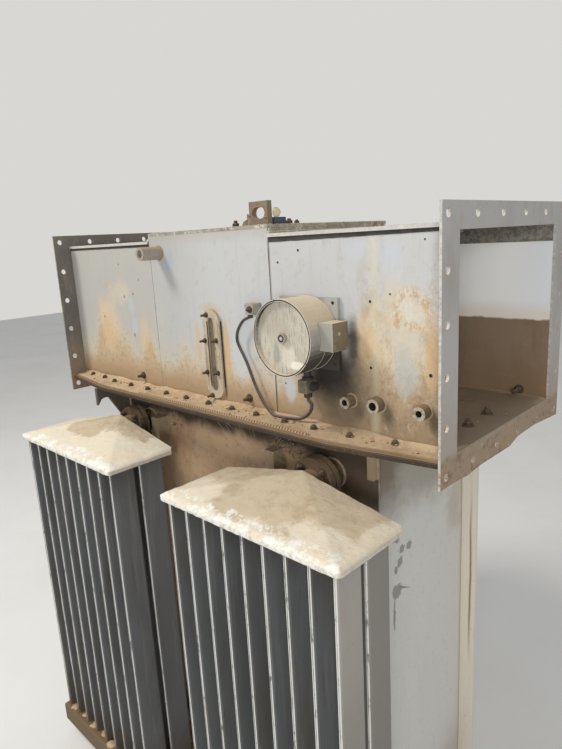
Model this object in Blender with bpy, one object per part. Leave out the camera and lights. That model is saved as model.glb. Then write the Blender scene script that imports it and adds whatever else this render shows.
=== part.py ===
"""Oil-filled power transformer with a duct box on top of its tank and two flat-tube radiators.

Units are metres, +Z is up, the ground is Z = 0 and the radiators stand on the -Y side.
"""
import math

import bmesh
import bpy
from mathutils import Matrix, Vector

for old in list(bpy.data.objects):
    bpy.data.objects.remove(old, do_unlink=True)

# clearance between two pieces that touch, and how far a cutting tool runs past what it cuts
FIT = 0.0003
OVERCUT = 0.010
SHARP_ANGLE = math.radians(35)

# duct box
BOX_LENGTH = 1.335
BOX_DEPTH = 0.450
BOX_HEIGHT = 0.394
BOX_FRONT_Y = -0.132
WALL = 0.006
END_PANEL = 0.442
PANEL_GAP = 0.0006
RAISED_ROOF = 0.033
RAISED_SHEET = 0.0075
RISER_SHEET = 0.006
ROOF_PACKING = 0.0057
PACKING_INSET = 0.002
ROOF_SHEET = 0.0073
ROOF_PROJECT = 0.004
TOP_ANGLE = 0.035
TOP_ANGLE_WIDTH = 0.022
TOP_ANGLE_SHEET = 0.004

# deck plate and the tank flange under it
DECK_SHEET = 0.007
TANK_FLANGE_SHEET = 0.008
LEDGE = 0.072
LEDGE_END = 0.036
LEDGE_TAPER = 0.235
FLANGE_PROUD = 0.006

# bolted flanges round both open ends of the box
FLANGE_SHEET = 0.005
FLANGE_SIDE = 0.053
FLANGE_TOP = 0.047
FLANGE_BOTTOM = 0.051
FLANGE_HOLE = 0.0155
HOLE_FROM_EDGE = 0.020
SIDE_HOLES = 6
TOP_HOLES = 6
LIP_SAG = 0.010
LIP_WAVE = ((0.10, 0.0), (0.18, 0.35), (0.28, 0.0), (0.52, 0.2), (0.60, -0.9), (0.76, -1.0), (0.9, -0.4))

# tank
TANK_INSET = 0.190
TANK_SET_BACK = 0.035
TANK_DEPTH = 0.380
TANK_SHEET = 0.006
TANK_CLEAR = 0.040
CORNER_BAR = 0.040
CORNER_BAR_SHEET = 0.008
SKID_WIDTH = 0.090
SKID_SHEET = 0.007
SKID_LENGTH = 0.560
SKID_INSET = 0.1975

# lugs and the lifting hook on the front of the tank
LUG_WIDTH = 0.033
LUG_REACH = 0.038
LUG_HEIGHT = 0.064
LUG_DROP = 0.078
LUG_LEFT_INSET = 0.3855
LUG_MIDDLE_INSET = 0.4775
LUG_MIDDLE_WIDTH = 0.030
STOP_BAR_WIDTH = 0.016
STOP_BAR_REACH = 0.015
STOP_BAR_HEIGHT = 0.056
STOP_BAR_DROP = 0.035
STOP_BAR_INSET = 0.003
HOOK_SHEET = 0.012
HOOK_REACH = 0.111
HOOK_HEIGHT = 0.104
HOOK_TIP = 0.053
HOOK_TIP_WIDTH = 0.009
HOOK_THROAT = 0.034
HOOK_ARCH = 0.033
HOOK_ROOT = 0.030

# radiators
RADIATOR_GAP = 0.210
RADIATOR_OVERHANG = 0.1285
HEADER_DEPTH = 0.196
HEADER_RIM = 0.016
HEADER_PEAK = 0.052
HEADER_DROP = 0.131
HEADER_ROUND = 0.005
PIPE_REACH = 0.103
PIPE_RADIUS = 0.031
PIPE_DROP = 0.041
PIPE_FLANGE = 0.056
PIPE_FLANGE_SHEET = 0.013
PIPE_FLANGE_START = 0.030
GASKET = 0.003
GASKET_INSET = 0.006
COLUMNS = 9
ROWS = 2
TUBE_WIDTH = 0.070
TUBE_THICK = 0.010
TUBE_GAP = 0.015
TUBE_LENGTH = 0.940
TUBE_FROM_EDGE = 0.012
TUBE_FROM_END = 0.0205
FOOT_RIM = 0.060
FOOT_DEEP = 0.012
FOOT_CLEAR = 0.0477

# dial gauge on the right-hand panel
GAUGE_INSET = 0.330
GAUGE_HEIGHT = 0.2015
GAUGE_PLATE_WIDTH = 0.158
GAUGE_PLATE_HEIGHT = 0.148
GAUGE_PLATE_SHEET = 0.008
GAUGE_RADIUS = 0.079
GAUGE_DEPTH = 0.084
BEZEL_DEPTH = 0.013
BEZEL_STEP = 0.0015
BEZEL_RIM = 0.005
BEZEL_RECESS = 0.012
DIAL_SHEET = 0.003
KNOB_RADIUS = 0.010
KNOB_REACH = 0.008
TERMINAL_REACH = 0.029
TERMINAL_OVERLAP = 0.016
TERMINAL_STAND = 0.017
TERMINAL_DEPTH = 0.045
TERMINAL_HEIGHT = 0.0545
TERMINAL_RISE = 0.004

# capillary line with its bracket and sensor fitting
CAPILLARY_RADIUS = 0.0035
LINE_CLEAR = 0.0015
LINE_LEAD = 0.005
LINE_FROM_SEAM = ((-0.078, 0.212), (-0.098, 0.189), (-0.1035, 0.170), (-0.099, 0.153), (-0.076, 0.116),
                  (-0.052, 0.064), (-0.030, 0.029), (-0.006, 0.006), (0.012, 0.0))
LINE_TO_FITTING = ((-0.045, 0.003), (-0.018, 0.009), (0.002, 0.024), (0.009, 0.042))
BRACKET_FROM_SEAM = 0.060
BRACKET_WIDTH = 0.026
BRACKET_HEIGHT = 0.024
BRACKET_REACH = 0.026
BRACKET_RISE = 0.233
BRACKET_LINE = 0.0075
FITTING_INSET = 0.331
FITTING_RISE = 0.089
FITTING_RADIUS = 0.014
FITTING_REACH = 0.034
STEM_RADIUS = 0.007
STEM_LENGTH = 0.012

# sight glass, sockets and vent
SIGHT_FROM_SEAM = 0.210
SIGHT_RISE = 0.1235
SIGHT_LONG = 0.226
SIGHT_WIDE = 0.062
SIGHT_DEPTH = 0.007
SIGHT_SLOT = 0.022
SIGHT_PANE = 0.004
SOCKET_INSETS = (0.2286, 0.161, 0.060)
SOCKET_RISES = (0.068, 0.071, 0.073)
SOCKET_RADII = (0.0125, 0.0145, 0.0135)
SOCKET_BORES = (0.0065, 0.0085, 0.0065)
SOCKET_REACH = 0.024
VENT_FROM_SEAM = 0.043
VENT_DROP = 0.051
VENT_RADIUS = 0.017
VENT_BORE = 0.011
VENT_REACH = 0.060

# split clamp on the roof
CLAMP_FROM_SEAM = 0.051
CLAMP_SET_BACK = 0.032
CLAMP_DEPTH = 0.014
CLAMP_LOWER_WIDTH = 0.066
CLAMP_UPPER_WIDTH = 0.058
CLAMP_LOWER_HEIGHT = 0.026
CLAMP_UPPER_HEIGHT = 0.025
CLAMP_OPENING = 0.025
CLAMP_OPENING_LONG = 0.040

# places worked out from the sizes
DECK_TOP = FOOT_CLEAR + FOOT_RIM + TUBE_LENGTH + FIT + HEADER_RIM + HEADER_DROP
HALF_X = BOX_LENGTH / 2
SEAM_X = HALF_X - END_PANEL
BACK_Y = BOX_FRONT_Y + BOX_DEPTH
WALL_FACE = BOX_FRONT_Y - FIT
DECK_END = HALF_X - FLANGE_SHEET - FIT
FRONT_IN = BOX_FRONT_Y + WALL
BACK_IN = BACK_Y - WALL
WALL_LOW = DECK_TOP + FIT
WALL_TOP = DECK_TOP + BOX_HEIGHT
RAISED_TOP = WALL_TOP + RAISED_ROOF
COVER_LOW = RAISED_TOP - RAISED_SHEET
DECK_UNDER = DECK_TOP - DECK_SHEET
TANK_TOP = DECK_UNDER - FIT - TANK_FLANGE_SHEET
TANK_HALF = HALF_X - TANK_INSET
TANK_FRONT = BOX_FRONT_Y + TANK_SET_BACK
TANK_BACK = TANK_FRONT + TANK_DEPTH
TANK_FACE = TANK_FRONT - FIT
PLATE_TOP = TANK_TOP - FIT
HEADER_WIDTH = TANK_HALF + RADIATOR_OVERHANG - RADIATOR_GAP / 2
RADIATOR_X = (RADIATOR_GAP + HEADER_WIDTH) / 2
COLUMN_PITCH = (HEADER_WIDTH - 2 * TUBE_FROM_END) / (COLUMNS - 1)

PALE = (0.42, 0.43, 0.44)
DARK = (0.16, 0.15, 0.14)
DUSTY = (0.33, 0.27, 0.20)
SLATE = (0.13, 0.15, 0.18)
BLACK = (0.03, 0.03, 0.03)


def finish(name, color, rough):
    mat = bpy.data.materials.new(name)
    mat.use_nodes = True
    shader = mat.node_tree.nodes["Principled BSDF"]
    shader.inputs["Base Color"].default_value = (*color, 1.0)
    shader.inputs["Roughness"].default_value = rough
    shader.inputs["Metallic"].default_value = 0.0
    return mat


def make(name, bm, color, rough=0.7, smooth=False):
    """Put a mesh in the scene as an object whose origin is at the middle of its shape."""
    bmesh.ops.recalc_face_normals(bm, faces=bm.faces)
    low = Vector([min(v.co[i] for v in bm.verts) for i in range(3)])
    high = Vector([max(v.co[i] for v in bm.verts) for i in range(3)])
    middle = (low + high) / 2
    bmesh.ops.translate(bm, vec=-middle, verts=bm.verts)
    mesh = bpy.data.meshes.new(name)
    bm.to_mesh(mesh)
    bm.free()
    if smooth:
        mesh.shade_smooth()
        mesh.set_sharp_from_angle(angle=SHARP_ANGLE)
    obj = bpy.data.objects.new(name, mesh)
    obj.location = middle
    bpy.context.scene.collection.objects.link(obj)
    mesh.materials.append(finish(name + "_finish", color, rough))
    return obj


def guide(obj):
    """Mark a cutting tool, which is not part of the object."""
    obj.hide_render = True
    obj.display_type = "WIRE"
    return obj


def block_mesh(low, high):
    bm = bmesh.new()
    bmesh.ops.create_cube(bm, size=1.0)
    bmesh.ops.scale(bm, vec=Vector(high) - Vector(low), verts=bm.verts)
    bmesh.ops.translate(bm, vec=(Vector(high) + Vector(low)) / 2, verts=bm.verts)
    return bm


def block(name, low, high, color, rough=0.7):
    return make(name, block_mesh(low, high), color, rough)


def prism_mesh(outline, axis, low, high):
    """Extrude a closed outline along one axis; its points give the other two axes in X, Y, Z order."""
    order = {"x": lambda a, b: (low, a, b), "y": lambda a, b: (a, low, b), "z": lambda a, b: (a, b, low)}
    along = {"x": Vector((1, 0, 0)), "y": Vector((0, 1, 0)), "z": Vector((0, 0, 1))}
    bm = bmesh.new()
    face = bm.faces.new([bm.verts.new(order[axis](a, b)) for a, b in outline])
    out = bmesh.ops.extrude_face_region(bm, geom=[face], use_keep_orig=True)
    moved = [item for item in out["geom"] if isinstance(item, bmesh.types.BMVert)]
    bmesh.ops.translate(bm, vec=along[axis] * (high - low), verts=moved)
    return bm


def prism(name, outline, axis, low, high, color, rough=0.7):
    return make(name, prism_mesh(outline, axis, low, high), color, rough)


def circle(radius, sides, centre=(0.0, 0.0)):
    step = 2 * math.pi / sides
    turns = [(i + 0.5) * step for i in range(sides)]
    return [(centre[0] + radius * math.cos(t), centre[1] + radius * math.sin(t)) for t in turns]


def slot(width, length, arc, centre=(0.0, 0.0)):
    """Outline of an upright slot with half-round ends of arc points each."""
    radius = width / 2
    straight = length / 2 - radius
    points = []
    for end in (1, -1):
        for i in range(arc):
            turn = math.pi * i / (arc - 1) + (0 if end > 0 else math.pi)
            points.append((centre[0] + radius * math.cos(turn),
                           centre[1] + end * straight + radius * math.sin(turn)))
    return points


def aimed(bm, centre, aim):
    turn = Vector((0, 0, 1)).rotation_difference(Vector(aim)).to_matrix().to_4x4()
    bmesh.ops.transform(bm, matrix=Matrix.Translation(centre) @ turn, verts=bm.verts)
    return bm


def turned(name, profile, sides, centre, aim, color, rough=0.7):
    """Spin a closed outline of (radius, along) points about the line from centre towards aim."""
    bm = bmesh.new()
    verts = [bm.verts.new((radius, 0.0, along)) for radius, along in profile]
    count = len(verts)
    edges = [bm.edges.new((verts[i], verts[(i + 1) % count])) for i in range(count)]
    bmesh.ops.spin(bm, geom=verts + edges, cent=(0, 0, 0), axis=(0, 0, 1), angle=2 * math.pi,
                   steps=sides, use_merge=True)
    bmesh.ops.remove_doubles(bm, verts=bm.verts, dist=0.00001)
    bmesh.ops.dissolve_degenerate(bm, edges=bm.edges, dist=0.00001)
    return make(name, aimed(bm, centre, aim), color, rough, smooth=True)


def rod(name, radius, sides, centre, aim, length, color, rough=0.7):
    bm = prism_mesh(circle(radius, sides), "z", 0.0, length)
    return make(name, aimed(bm, centre, aim), color, rough, smooth=sides > 6)


def boolean(target, tool, operation="DIFFERENCE"):
    guide(tool)
    mod = target.modifiers.new(tool.name, "BOOLEAN")
    mod.operation = operation
    mod.solver = "EXACT"
    mod.object = tool


def gathered(meshes):
    """Put several bmeshes side by side in one."""
    whole = bmesh.new()
    for bm in meshes:
        mesh = bpy.data.meshes.new("gathered")
        bm.to_mesh(mesh)
        bm.free()
        whole.from_mesh(mesh)
        bpy.data.meshes.remove(mesh)
    return whole


# deck plate and the tank flange that it is bolted to; their long edges draw in towards both ends
def deck_outline(proud):
    taper_x = HALF_X - LEDGE_TAPER
    end_front = BOX_FRONT_Y - LEDGE_END - proud
    end_back = BACK_Y + LEDGE_END + proud
    front = BOX_FRONT_Y - LEDGE - proud
    back = BACK_Y + LEDGE + proud
    return [(-DECK_END, end_front), (-taper_x, front), (taper_x, front), (DECK_END, end_front),
            (DECK_END, end_back), (taper_x, back), (-taper_x, back), (-DECK_END, end_back)]


prism("deck_plate", deck_outline(0.0), "z", DECK_UNDER, DECK_TOP, DUSTY, 0.85)
tank_flange = prism("tank_flange", deck_outline(FLANGE_PROUD), "z", TANK_TOP,
                    TANK_TOP + TANK_FLANGE_SHEET, DARK, 0.8)
mouth_x = TANK_HALF - TANK_SHEET
tank_mouth = block("tank_mouth_tool", (-mouth_x, TANK_FRONT + TANK_SHEET, TANK_TOP - OVERCUT),
                   (mouth_x, TANK_BACK - TANK_SHEET, DECK_UNDER + OVERCUT), DARK)
boolean(tank_flange, tank_mouth)

# walls of the duct box, three panels long; the middle third stands higher than the others
spans = {
    "left": (-DECK_END, -SEAM_X - PANEL_GAP),
    "middle": (-SEAM_X, SEAM_X - PANEL_GAP),
    "right": (SEAM_X, DECK_END),
}
wall_tops = {"left": WALL_TOP, "middle": COVER_LOW - FIT, "right": WALL_TOP}
for side, (x0, x1) in spans.items():
    block("front_wall_" + side, (x0, BOX_FRONT_Y, WALL_LOW), (x1, FRONT_IN, wall_tops[side]), PALE)
    block("back_wall_" + side, (x0, BACK_IN, WALL_LOW), (x1, BACK_Y, wall_tops[side]), PALE)

# roof: the two low sheets stand on a set-back packing strip, the raised one on the walls and two risers
ROOF_LOW = WALL_TOP + FIT
PACKING_TOP = ROOF_LOW + ROOF_PACKING
ROOF_TOP = PACKING_TOP + ROOF_SHEET
front_strip = BOX_FRONT_Y + PACKING_INSET
front_edge = BOX_FRONT_Y - ROOF_PROJECT
back_strip = BACK_Y - PACKING_INSET
back_edge = BACK_Y + ROOF_PROJECT
low_roof = [(front_strip, ROOF_LOW), (front_strip, PACKING_TOP), (front_edge, PACKING_TOP),
            (front_edge, ROOF_TOP), (back_edge, ROOF_TOP), (back_edge, PACKING_TOP),
            (back_strip, PACKING_TOP), (back_strip, ROOF_LOW)]
for side in ("left", "right"):
    prism("roof_" + side, low_roof, "x", *spans[side], PALE)
x0, x1 = spans["middle"]
block("roof_middle", (x0, BOX_FRONT_Y, COVER_LOW), (x1, BACK_Y, RAISED_TOP), PALE)
for side, x in (("left", x0), ("right", x1 - RISER_SHEET)):
    block("riser_" + side, (x, FRONT_IN + FIT, WALL_TOP),
          (x + RISER_SHEET, BACK_IN - FIT, COVER_LOW - FIT), PALE)

# stiffening angles inside, along the top of both long walls
for side, wall_y, inward in (("front", FRONT_IN + FIT, 1), ("back", BACK_IN - FIT, -1)):
    thin = wall_y + inward * TOP_ANGLE_SHEET
    wide = wall_y + inward * TOP_ANGLE_WIDTH
    top = WALL_TOP - FIT
    shape = [(wall_y, WALL_TOP - TOP_ANGLE), (thin, WALL_TOP - TOP_ANGLE), (thin, top - TOP_ANGLE_SHEET),
             (wide, top - TOP_ANGLE_SHEET), (wide, top), (wall_y, top)]
    prism("top_angle_" + side, shape, "x", -DECK_END + FIT, DECK_END - FIT, DARK)

# bolted end flanges; the lower lip of the right one is bent out of line
FLANGE_FRONT = BOX_FRONT_Y - FLANGE_SIDE
FLANGE_BACK = BACK_Y + FLANGE_SIDE
FLANGE_LOW = DECK_TOP - FLANGE_BOTTOM
FLANGE_HIGH = WALL_TOP + FLANGE_TOP


def hole_centres():
    y0 = FLANGE_FRONT + HOLE_FROM_EDGE
    y1 = FLANGE_BACK - HOLE_FROM_EDGE
    z0 = FLANGE_LOW + HOLE_FROM_EDGE
    z1 = FLANGE_HIGH - HOLE_FROM_EDGE
    heights = [z0 + (z1 - z0) * i / (SIDE_HOLES - 1) for i in range(SIDE_HOLES)]
    across = [y0 + (y1 - y0) * i / (TOP_HOLES - 1) for i in range(1, TOP_HOLES - 1)]
    return [(y, z) for z in heights for y in (y0, y1)] + [(y, z) for y in across for z in (z0, z1)]


mouth = [(FRONT_IN, DECK_TOP), (BACK_IN, DECK_TOP), (BACK_IN, WALL_TOP), (FRONT_IN, WALL_TOP)]
for side, face_x, bend in (("left", -HALF_X, 0.0), ("right", HALF_X - FLANGE_SHEET, LIP_SAG)):
    outline = [(FLANGE_FRONT, FLANGE_HIGH), (FLANGE_FRONT, FLANGE_LOW)]
    for share, lift in LIP_WAVE if bend else ():
        outline.append((FLANGE_FRONT + (FLANGE_BACK - FLANGE_FRONT) * share, FLANGE_LOW - bend * lift))
    outline += [(FLANGE_BACK, FLANGE_LOW), (FLANGE_BACK, FLANGE_HIGH)]
    low_x = face_x - OVERCUT
    high_x = face_x + FLANGE_SHEET + OVERCUT
    flange = prism(side + "_duct_flange", outline, "x", face_x, face_x + FLANGE_SHEET, DARK, 0.75)
    boolean(flange, prism(side + "_mouth_tool", mouth, "x", low_x, high_x, DARK))
    drills = [prism_mesh(circle(FLANGE_HOLE / 2, 12, spot), "x", low_x, high_x) for spot in hole_centres()]
    boolean(flange, make(side + "_drill_tool", gathered(drills), DARK))

# tank: a shell of plates with a bar down each back corner, on two channel skids
TANK_BOTTOM = TANK_CLEAR + FIT
SIDE_LOW = TANK_BOTTOM + TANK_SHEET + FIT
block("tank_bottom", (-TANK_HALF, TANK_FRONT, TANK_BOTTOM),
      (TANK_HALF, TANK_BACK, TANK_BOTTOM + TANK_SHEET), DARK)
block("tank_front", (-TANK_HALF, TANK_FRONT, SIDE_LOW),
      (TANK_HALF, TANK_FRONT + TANK_SHEET, PLATE_TOP), DUSTY)
block("tank_back", (-TANK_HALF, TANK_BACK - TANK_SHEET, SIDE_LOW),
      (TANK_HALF, TANK_BACK, PLATE_TOP), PALE)
for side, sign in (("left", -1), ("right", 1)):
    inner_x, outer_x = sorted((sign * (TANK_HALF - TANK_SHEET), sign * TANK_HALF))
    block("tank_" + side, (inner_x, TANK_FRONT + TANK_SHEET + FIT, SIDE_LOW),
          (outer_x, TANK_BACK - TANK_SHEET - FIT, PLATE_TOP), PALE)
    near, far = sorted((sign * (TANK_HALF + FIT), sign * (TANK_HALF + FIT + CORNER_BAR)))
    block("corner_bar_" + side, (near, TANK_BACK - CORNER_BAR_SHEET, TANK_CLEAR),
          (far, TANK_BACK, PLATE_TOP), PALE)
    out = sign * (TANK_HALF - SKID_INSET)
    inn = out - sign * SKID_WIDTH
    web = out - sign * SKID_SHEET
    upper_z = TANK_CLEAR - SKID_SHEET
    channel = [(out, 0.0), (inn, 0.0), (inn, SKID_SHEET), (web, SKID_SHEET), (web, upper_z),
               (inn, upper_z), (inn, TANK_CLEAR), (out, TANK_CLEAR)]
    middle_y = (TANK_FRONT + TANK_BACK) / 2
    prism("skid_" + side, channel, "y", middle_y - SKID_LENGTH / 2, middle_y + SKID_LENGTH / 2, DARK)

# two lugs, a stop bar and a lifting hook on the front of the tank, close under its flange
lugs = (("lug_left", -HALF_X + LUG_LEFT_INSET, LUG_WIDTH),
        ("lug_middle", HALF_X - LUG_MIDDLE_INSET, LUG_MIDDLE_WIDTH))
for name, x, width in lugs:
    block(name, (x - width / 2, TANK_FACE - LUG_REACH, PLATE_TOP - LUG_DROP - LUG_HEIGHT),
          (x + width / 2, TANK_FACE, PLATE_TOP - LUG_DROP), DARK)
bar_x = TANK_HALF - STOP_BAR_INSET
bar_top = PLATE_TOP - STOP_BAR_DROP
block("stop_bar", (bar_x - STOP_BAR_WIDTH, TANK_FACE - STOP_BAR_REACH, bar_top - STOP_BAR_HEIGHT),
      (bar_x, TANK_FACE, bar_top), DUSTY)


def hook_outline():
    """Plate from the tank front out to a down-turned tip, with a rounded throat behind the tip."""
    front = TANK_FACE - HOOK_REACH
    throat_in = front + HOOK_TIP_WIDTH + HOOK_THROAT
    points = [(TANK_FACE, PLATE_TOP), (front, PLATE_TOP), (front, PLATE_TOP - HOOK_TIP)]
    centre_y = (front + HOOK_TIP_WIDTH + throat_in) / 2
    rise = HOOK_THROAT / 4
    spring_z = PLATE_TOP - HOOK_ARCH - rise
    for i in range(7):
        turn = math.pi * (1 - i / 6)
        points.append((centre_y + HOOK_THROAT / 2 * math.cos(turn), spring_z + rise * math.sin(turn)))
    points.append((TANK_FACE - HOOK_ROOT, PLATE_TOP - HOOK_HEIGHT))
    points.append((TANK_FACE, PLATE_TOP - HOOK_HEIGHT))
    return points


prism("lifting_hook", hook_outline(), "x", -TANK_HALF, -TANK_HALF + HOOK_SHEET, DARK)

# flat-tube radiators: a hipped cap, two rows of tubes fused with the bottom header, and two inlet pipes
HEADER_BACK = TANK_FRONT - PIPE_REACH
HEADER_FRONT = HEADER_BACK - HEADER_DEPTH
RIM_TOP = DECK_TOP - HEADER_DROP
RIM_BOTTOM = RIM_TOP - HEADER_RIM
TUBE_TOP = RIM_BOTTOM - FIT
FOOT_TOP = TUBE_TOP - TUBE_LENGTH
FOOT_BOTTOM = FOOT_TOP - FOOT_RIM


def header_mesh(x, base_z, edge_z, peak_z):
    """Rectangular rim whose three sloping faces run to one peak over the middle of its rear edge."""
    bm = bmesh.new()
    half = HEADER_WIDTH / 2
    plan = [(x - half, HEADER_FRONT), (x + half, HEADER_FRONT), (x + half, HEADER_BACK),
            (x - half, HEADER_BACK)]
    base = [bm.verts.new((a, b, base_z)) for a, b in plan]
    edge = [bm.verts.new((a, b, edge_z)) for a, b in plan]
    peak = bm.verts.new((x, HEADER_BACK, peak_z))
    bm.faces.new(base)
    for i in (0, 1, 3):
        j = (i + 1) % 4
        bm.faces.new((base[i], base[j], edge[j], edge[i]))
        bm.faces.new((edge[i], edge[j], peak))
    bm.faces.new((base[2], base[3], edge[3], peak, edge[2]))
    return bm


def rounded(obj):
    mod = obj.modifiers.new("rounded rim", "BEVEL")
    mod.width = HEADER_ROUND
    mod.segments = 2
    mod.limit_method = "ANGLE"
    mod.angle_limit = math.radians(40)


def tube_meshes(x):
    first_x = x - COLUMN_PITCH * (COLUMNS - 1) / 2
    meshes = []
    for column in range(COLUMNS):
        for row in range(ROWS):
            middle_y = HEADER_FRONT + TUBE_FROM_EDGE + TUBE_WIDTH / 2 + row * (TUBE_WIDTH + TUBE_GAP)
            plan = slot(TUBE_THICK, TUBE_WIDTH, 5, (first_x + column * COLUMN_PITCH, middle_y))
            meshes.append(prism_mesh(plan, "z", FOOT_TOP - FOOT_RIM / 2, TUBE_TOP))
    return meshes


def pipe_profile():
    """Pipe from header to tank with a pair of bolted flanges and the gasket between them."""
    length = PIPE_REACH - 2 * FIT
    a = PIPE_FLANGE_START
    b = a + PIPE_FLANGE_SHEET
    c = b + GASKET
    d = c + PIPE_FLANGE_SHEET
    bore = PIPE_RADIUS
    disc = PIPE_FLANGE
    gasket = PIPE_FLANGE - GASKET_INSET
    return [(0.0, 0.0), (bore, 0.0), (bore, a), (disc, a), (disc, b), (gasket, b), (gasket, c), (disc, c),
            (disc, d), (bore, d), (bore, length), (0.0, length)]


PEAK_Z = RIM_TOP + HEADER_PEAK
radiators = (("left", -RADIATOR_X), ("right", RADIATOR_X))
pipe_heights = {"upper": PEAK_Z - PIPE_DROP, "lower": FOOT_BOTTOM + PIPE_RADIUS}
for side, x in radiators:
    rounded(make("radiator_cap_" + side, header_mesh(x, RIM_BOTTOM, RIM_TOP, PEAK_Z), DUSTY, 0.9))
    foot = header_mesh(x, FOOT_TOP, FOOT_BOTTOM, FOOT_BOTTOM - FOOT_DEEP)
    bank = make("radiator_bank_" + side, foot, SLATE, 0.6)
    rounded(bank)
    boolean(bank, make("tubes_" + side, gathered(tube_meshes(x)), SLATE), "UNION")
    for level, z in pipe_heights.items():
        start = (x, HEADER_BACK + FIT, z)
        turned("%s_pipe_%s" % (level, side), pipe_profile(), 24, start, (0, 1, 0), DARK)

# dial gauge with its mounting plate and terminal box
gauge_x = HALF_X - GAUGE_INSET
gauge_z = DECK_TOP + GAUGE_HEIGHT
plate_y = WALL_FACE - GAUGE_PLATE_SHEET
block("gauge_plate", (gauge_x - GAUGE_PLATE_WIDTH / 2, plate_y, gauge_z - GAUGE_PLATE_HEIGHT / 2),
      (gauge_x + GAUGE_PLATE_WIDTH / 2, WALL_FACE, gauge_z + GAUGE_PLATE_HEIGHT / 2), PALE)
case_back = plate_y - FIT
body = GAUGE_RADIUS - BEZEL_STEP
glass = GAUGE_RADIUS - BEZEL_RIM
step_at = GAUGE_DEPTH - BEZEL_DEPTH
floor_at = GAUGE_DEPTH - BEZEL_RECESS
case = [(0.0, 0.0), (body, 0.0), (body, step_at), (GAUGE_RADIUS, step_at), (GAUGE_RADIUS, GAUGE_DEPTH),
        (glass, GAUGE_DEPTH), (glass, floor_at), (0.0, floor_at)]
turned("gauge_case", case, 48, (gauge_x, case_back, gauge_z), (0, -1, 0), PALE)
dial_y = case_back - floor_at - FIT
rod("gauge_dial", glass - FIT, 48, (gauge_x, dial_y, gauge_z), (0, -1, 0), DIAL_SHEET, DUSTY)
knob_y = dial_y - DIAL_SHEET - FIT
rod("gauge_knob", KNOB_RADIUS, 12, (gauge_x, knob_y, gauge_z), (0, -1, 0), KNOB_REACH, DARK)
box_back = BOX_FRONT_Y - TERMINAL_STAND
box_z = gauge_z + TERMINAL_RISE
box_low = (gauge_x + body - TERMINAL_OVERLAP, box_back - TERMINAL_DEPTH, box_z - TERMINAL_HEIGHT / 2)
box_high = (gauge_x + GAUGE_RADIUS + TERMINAL_REACH, box_back, box_z + TERMINAL_HEIGHT / 2)
terminal = block("gauge_terminal_box", box_low, box_high, PALE)
boolean(terminal, rod("terminal_tool", body + FIT, 48, (gauge_x, box_back + OVERCUT, gauge_z), (0, -1, 0),
                      TERMINAL_DEPTH + 2 * OVERCUT, DARK))

# capillary line from its wall bracket, down over the ledge and up into the sensor fitting
bracket_x = SEAM_X - BRACKET_FROM_SEAM
bracket_z = DECK_TOP + BRACKET_RISE
block("capillary_bracket", (bracket_x, WALL_FACE - BRACKET_REACH, bracket_z),
      (bracket_x + BRACKET_WIDTH, WALL_FACE, bracket_z + BRACKET_HEIGHT), DARK)
fitting_x = HALF_X - FITTING_INSET
fitting_z = DECK_TOP + FITTING_RISE
line_y = WALL_FACE - FITTING_REACH / 2
fitting = rod("sensor_fitting", FITTING_RADIUS, 6, (fitting_x, WALL_FACE, fitting_z), (0, -1, 0),
              FITTING_REACH, DARK)
boolean(fitting, rod("stem_tool", STEM_RADIUS, 10, (fitting_x, line_y, fitting_z), (0, 0, -1),
                     FITTING_RADIUS + STEM_LENGTH, DARK), "UNION")


def smooth_path(points, steps):
    """Catmull-Rom curve through the points."""
    knots = [points[0] * 2 - points[1]] + points + [points[-1] * 2 - points[-2]]
    path = []
    for i in range(1, len(knots) - 2):
        a, b, c, d = knots[i - 1:i + 3]
        for k in range(steps):
            t = k / steps
            path.append((b * 2 + (c - a) * t + (a * 2 - b * 5 + c * 4 - d) * t ** 2
                         + (b * 3 - a - c * 3 + d) * t ** 3) / 2)
    return path + [knots[-2]]


def tube_line(name, path, radius, color):
    curve = bpy.data.curves.new(name, "CURVE")
    curve.dimensions = "3D"
    curve.bevel_depth = radius
    curve.bevel_resolution = 2
    curve.use_fill_caps = True
    spline = curve.splines.new("POLY")
    spline.points.add(len(path) - 1)
    for point, place in zip(spline.points, path):
        point.co = (*place, 1.0)
    obj = bpy.data.objects.new(name, curve)
    bpy.context.scene.collection.objects.link(obj)
    curve.materials.append(finish(name + "_finish", color, 0.6))


lead = Vector((0.0, 0.0, LINE_LEAD))
line_start = Vector((bracket_x + BRACKET_LINE, line_y, bracket_z - FIT))
line_end = Vector((fitting_x, line_y, fitting_z - FITTING_RADIUS - STEM_LENGTH - FIT))
lie_z = DECK_TOP + CAPILLARY_RADIUS + LINE_CLEAR
route = [line_start - lead]
route += [Vector((SEAM_X + x, line_y, lie_z + rise)) for x, rise in LINE_FROM_SEAM]
route += [Vector((fitting_x + x, line_y, lie_z + rise)) for x, rise in LINE_TO_FITTING]
route.append(line_end - lead)
tube_line("capillary_line", [line_start] + smooth_path(route, 5) + [line_end], CAPILLARY_RADIUS, BLACK)

# sight glass on the middle panel
sight = (SEAM_X - SIGHT_FROM_SEAM, DECK_TOP + SIGHT_RISE)
slot_long = SIGHT_LONG - SIGHT_WIDE + SIGHT_SLOT
sight_y = WALL_FACE - SIGHT_DEPTH
frame = prism("sight_frame", slot(SIGHT_WIDE, SIGHT_LONG, 9, sight), "y", sight_y, WALL_FACE, DARK)
boolean(frame, prism("sight_tool", slot(SIGHT_SLOT, slot_long, 7, sight), "y",
                     sight_y - OVERCUT, WALL_FACE + OVERCUT, DARK))
prism("sight_pane", slot(SIGHT_SLOT - 2 * FIT, slot_long - 2 * FIT, 7, sight), "y",
      WALL_FACE - SIGHT_PANE, WALL_FACE, BLACK, 0.3)


def sleeve(outer, bore, length):
    return [(bore, 0.0), (outer, 0.0), (outer, length), (bore, length)]


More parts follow.
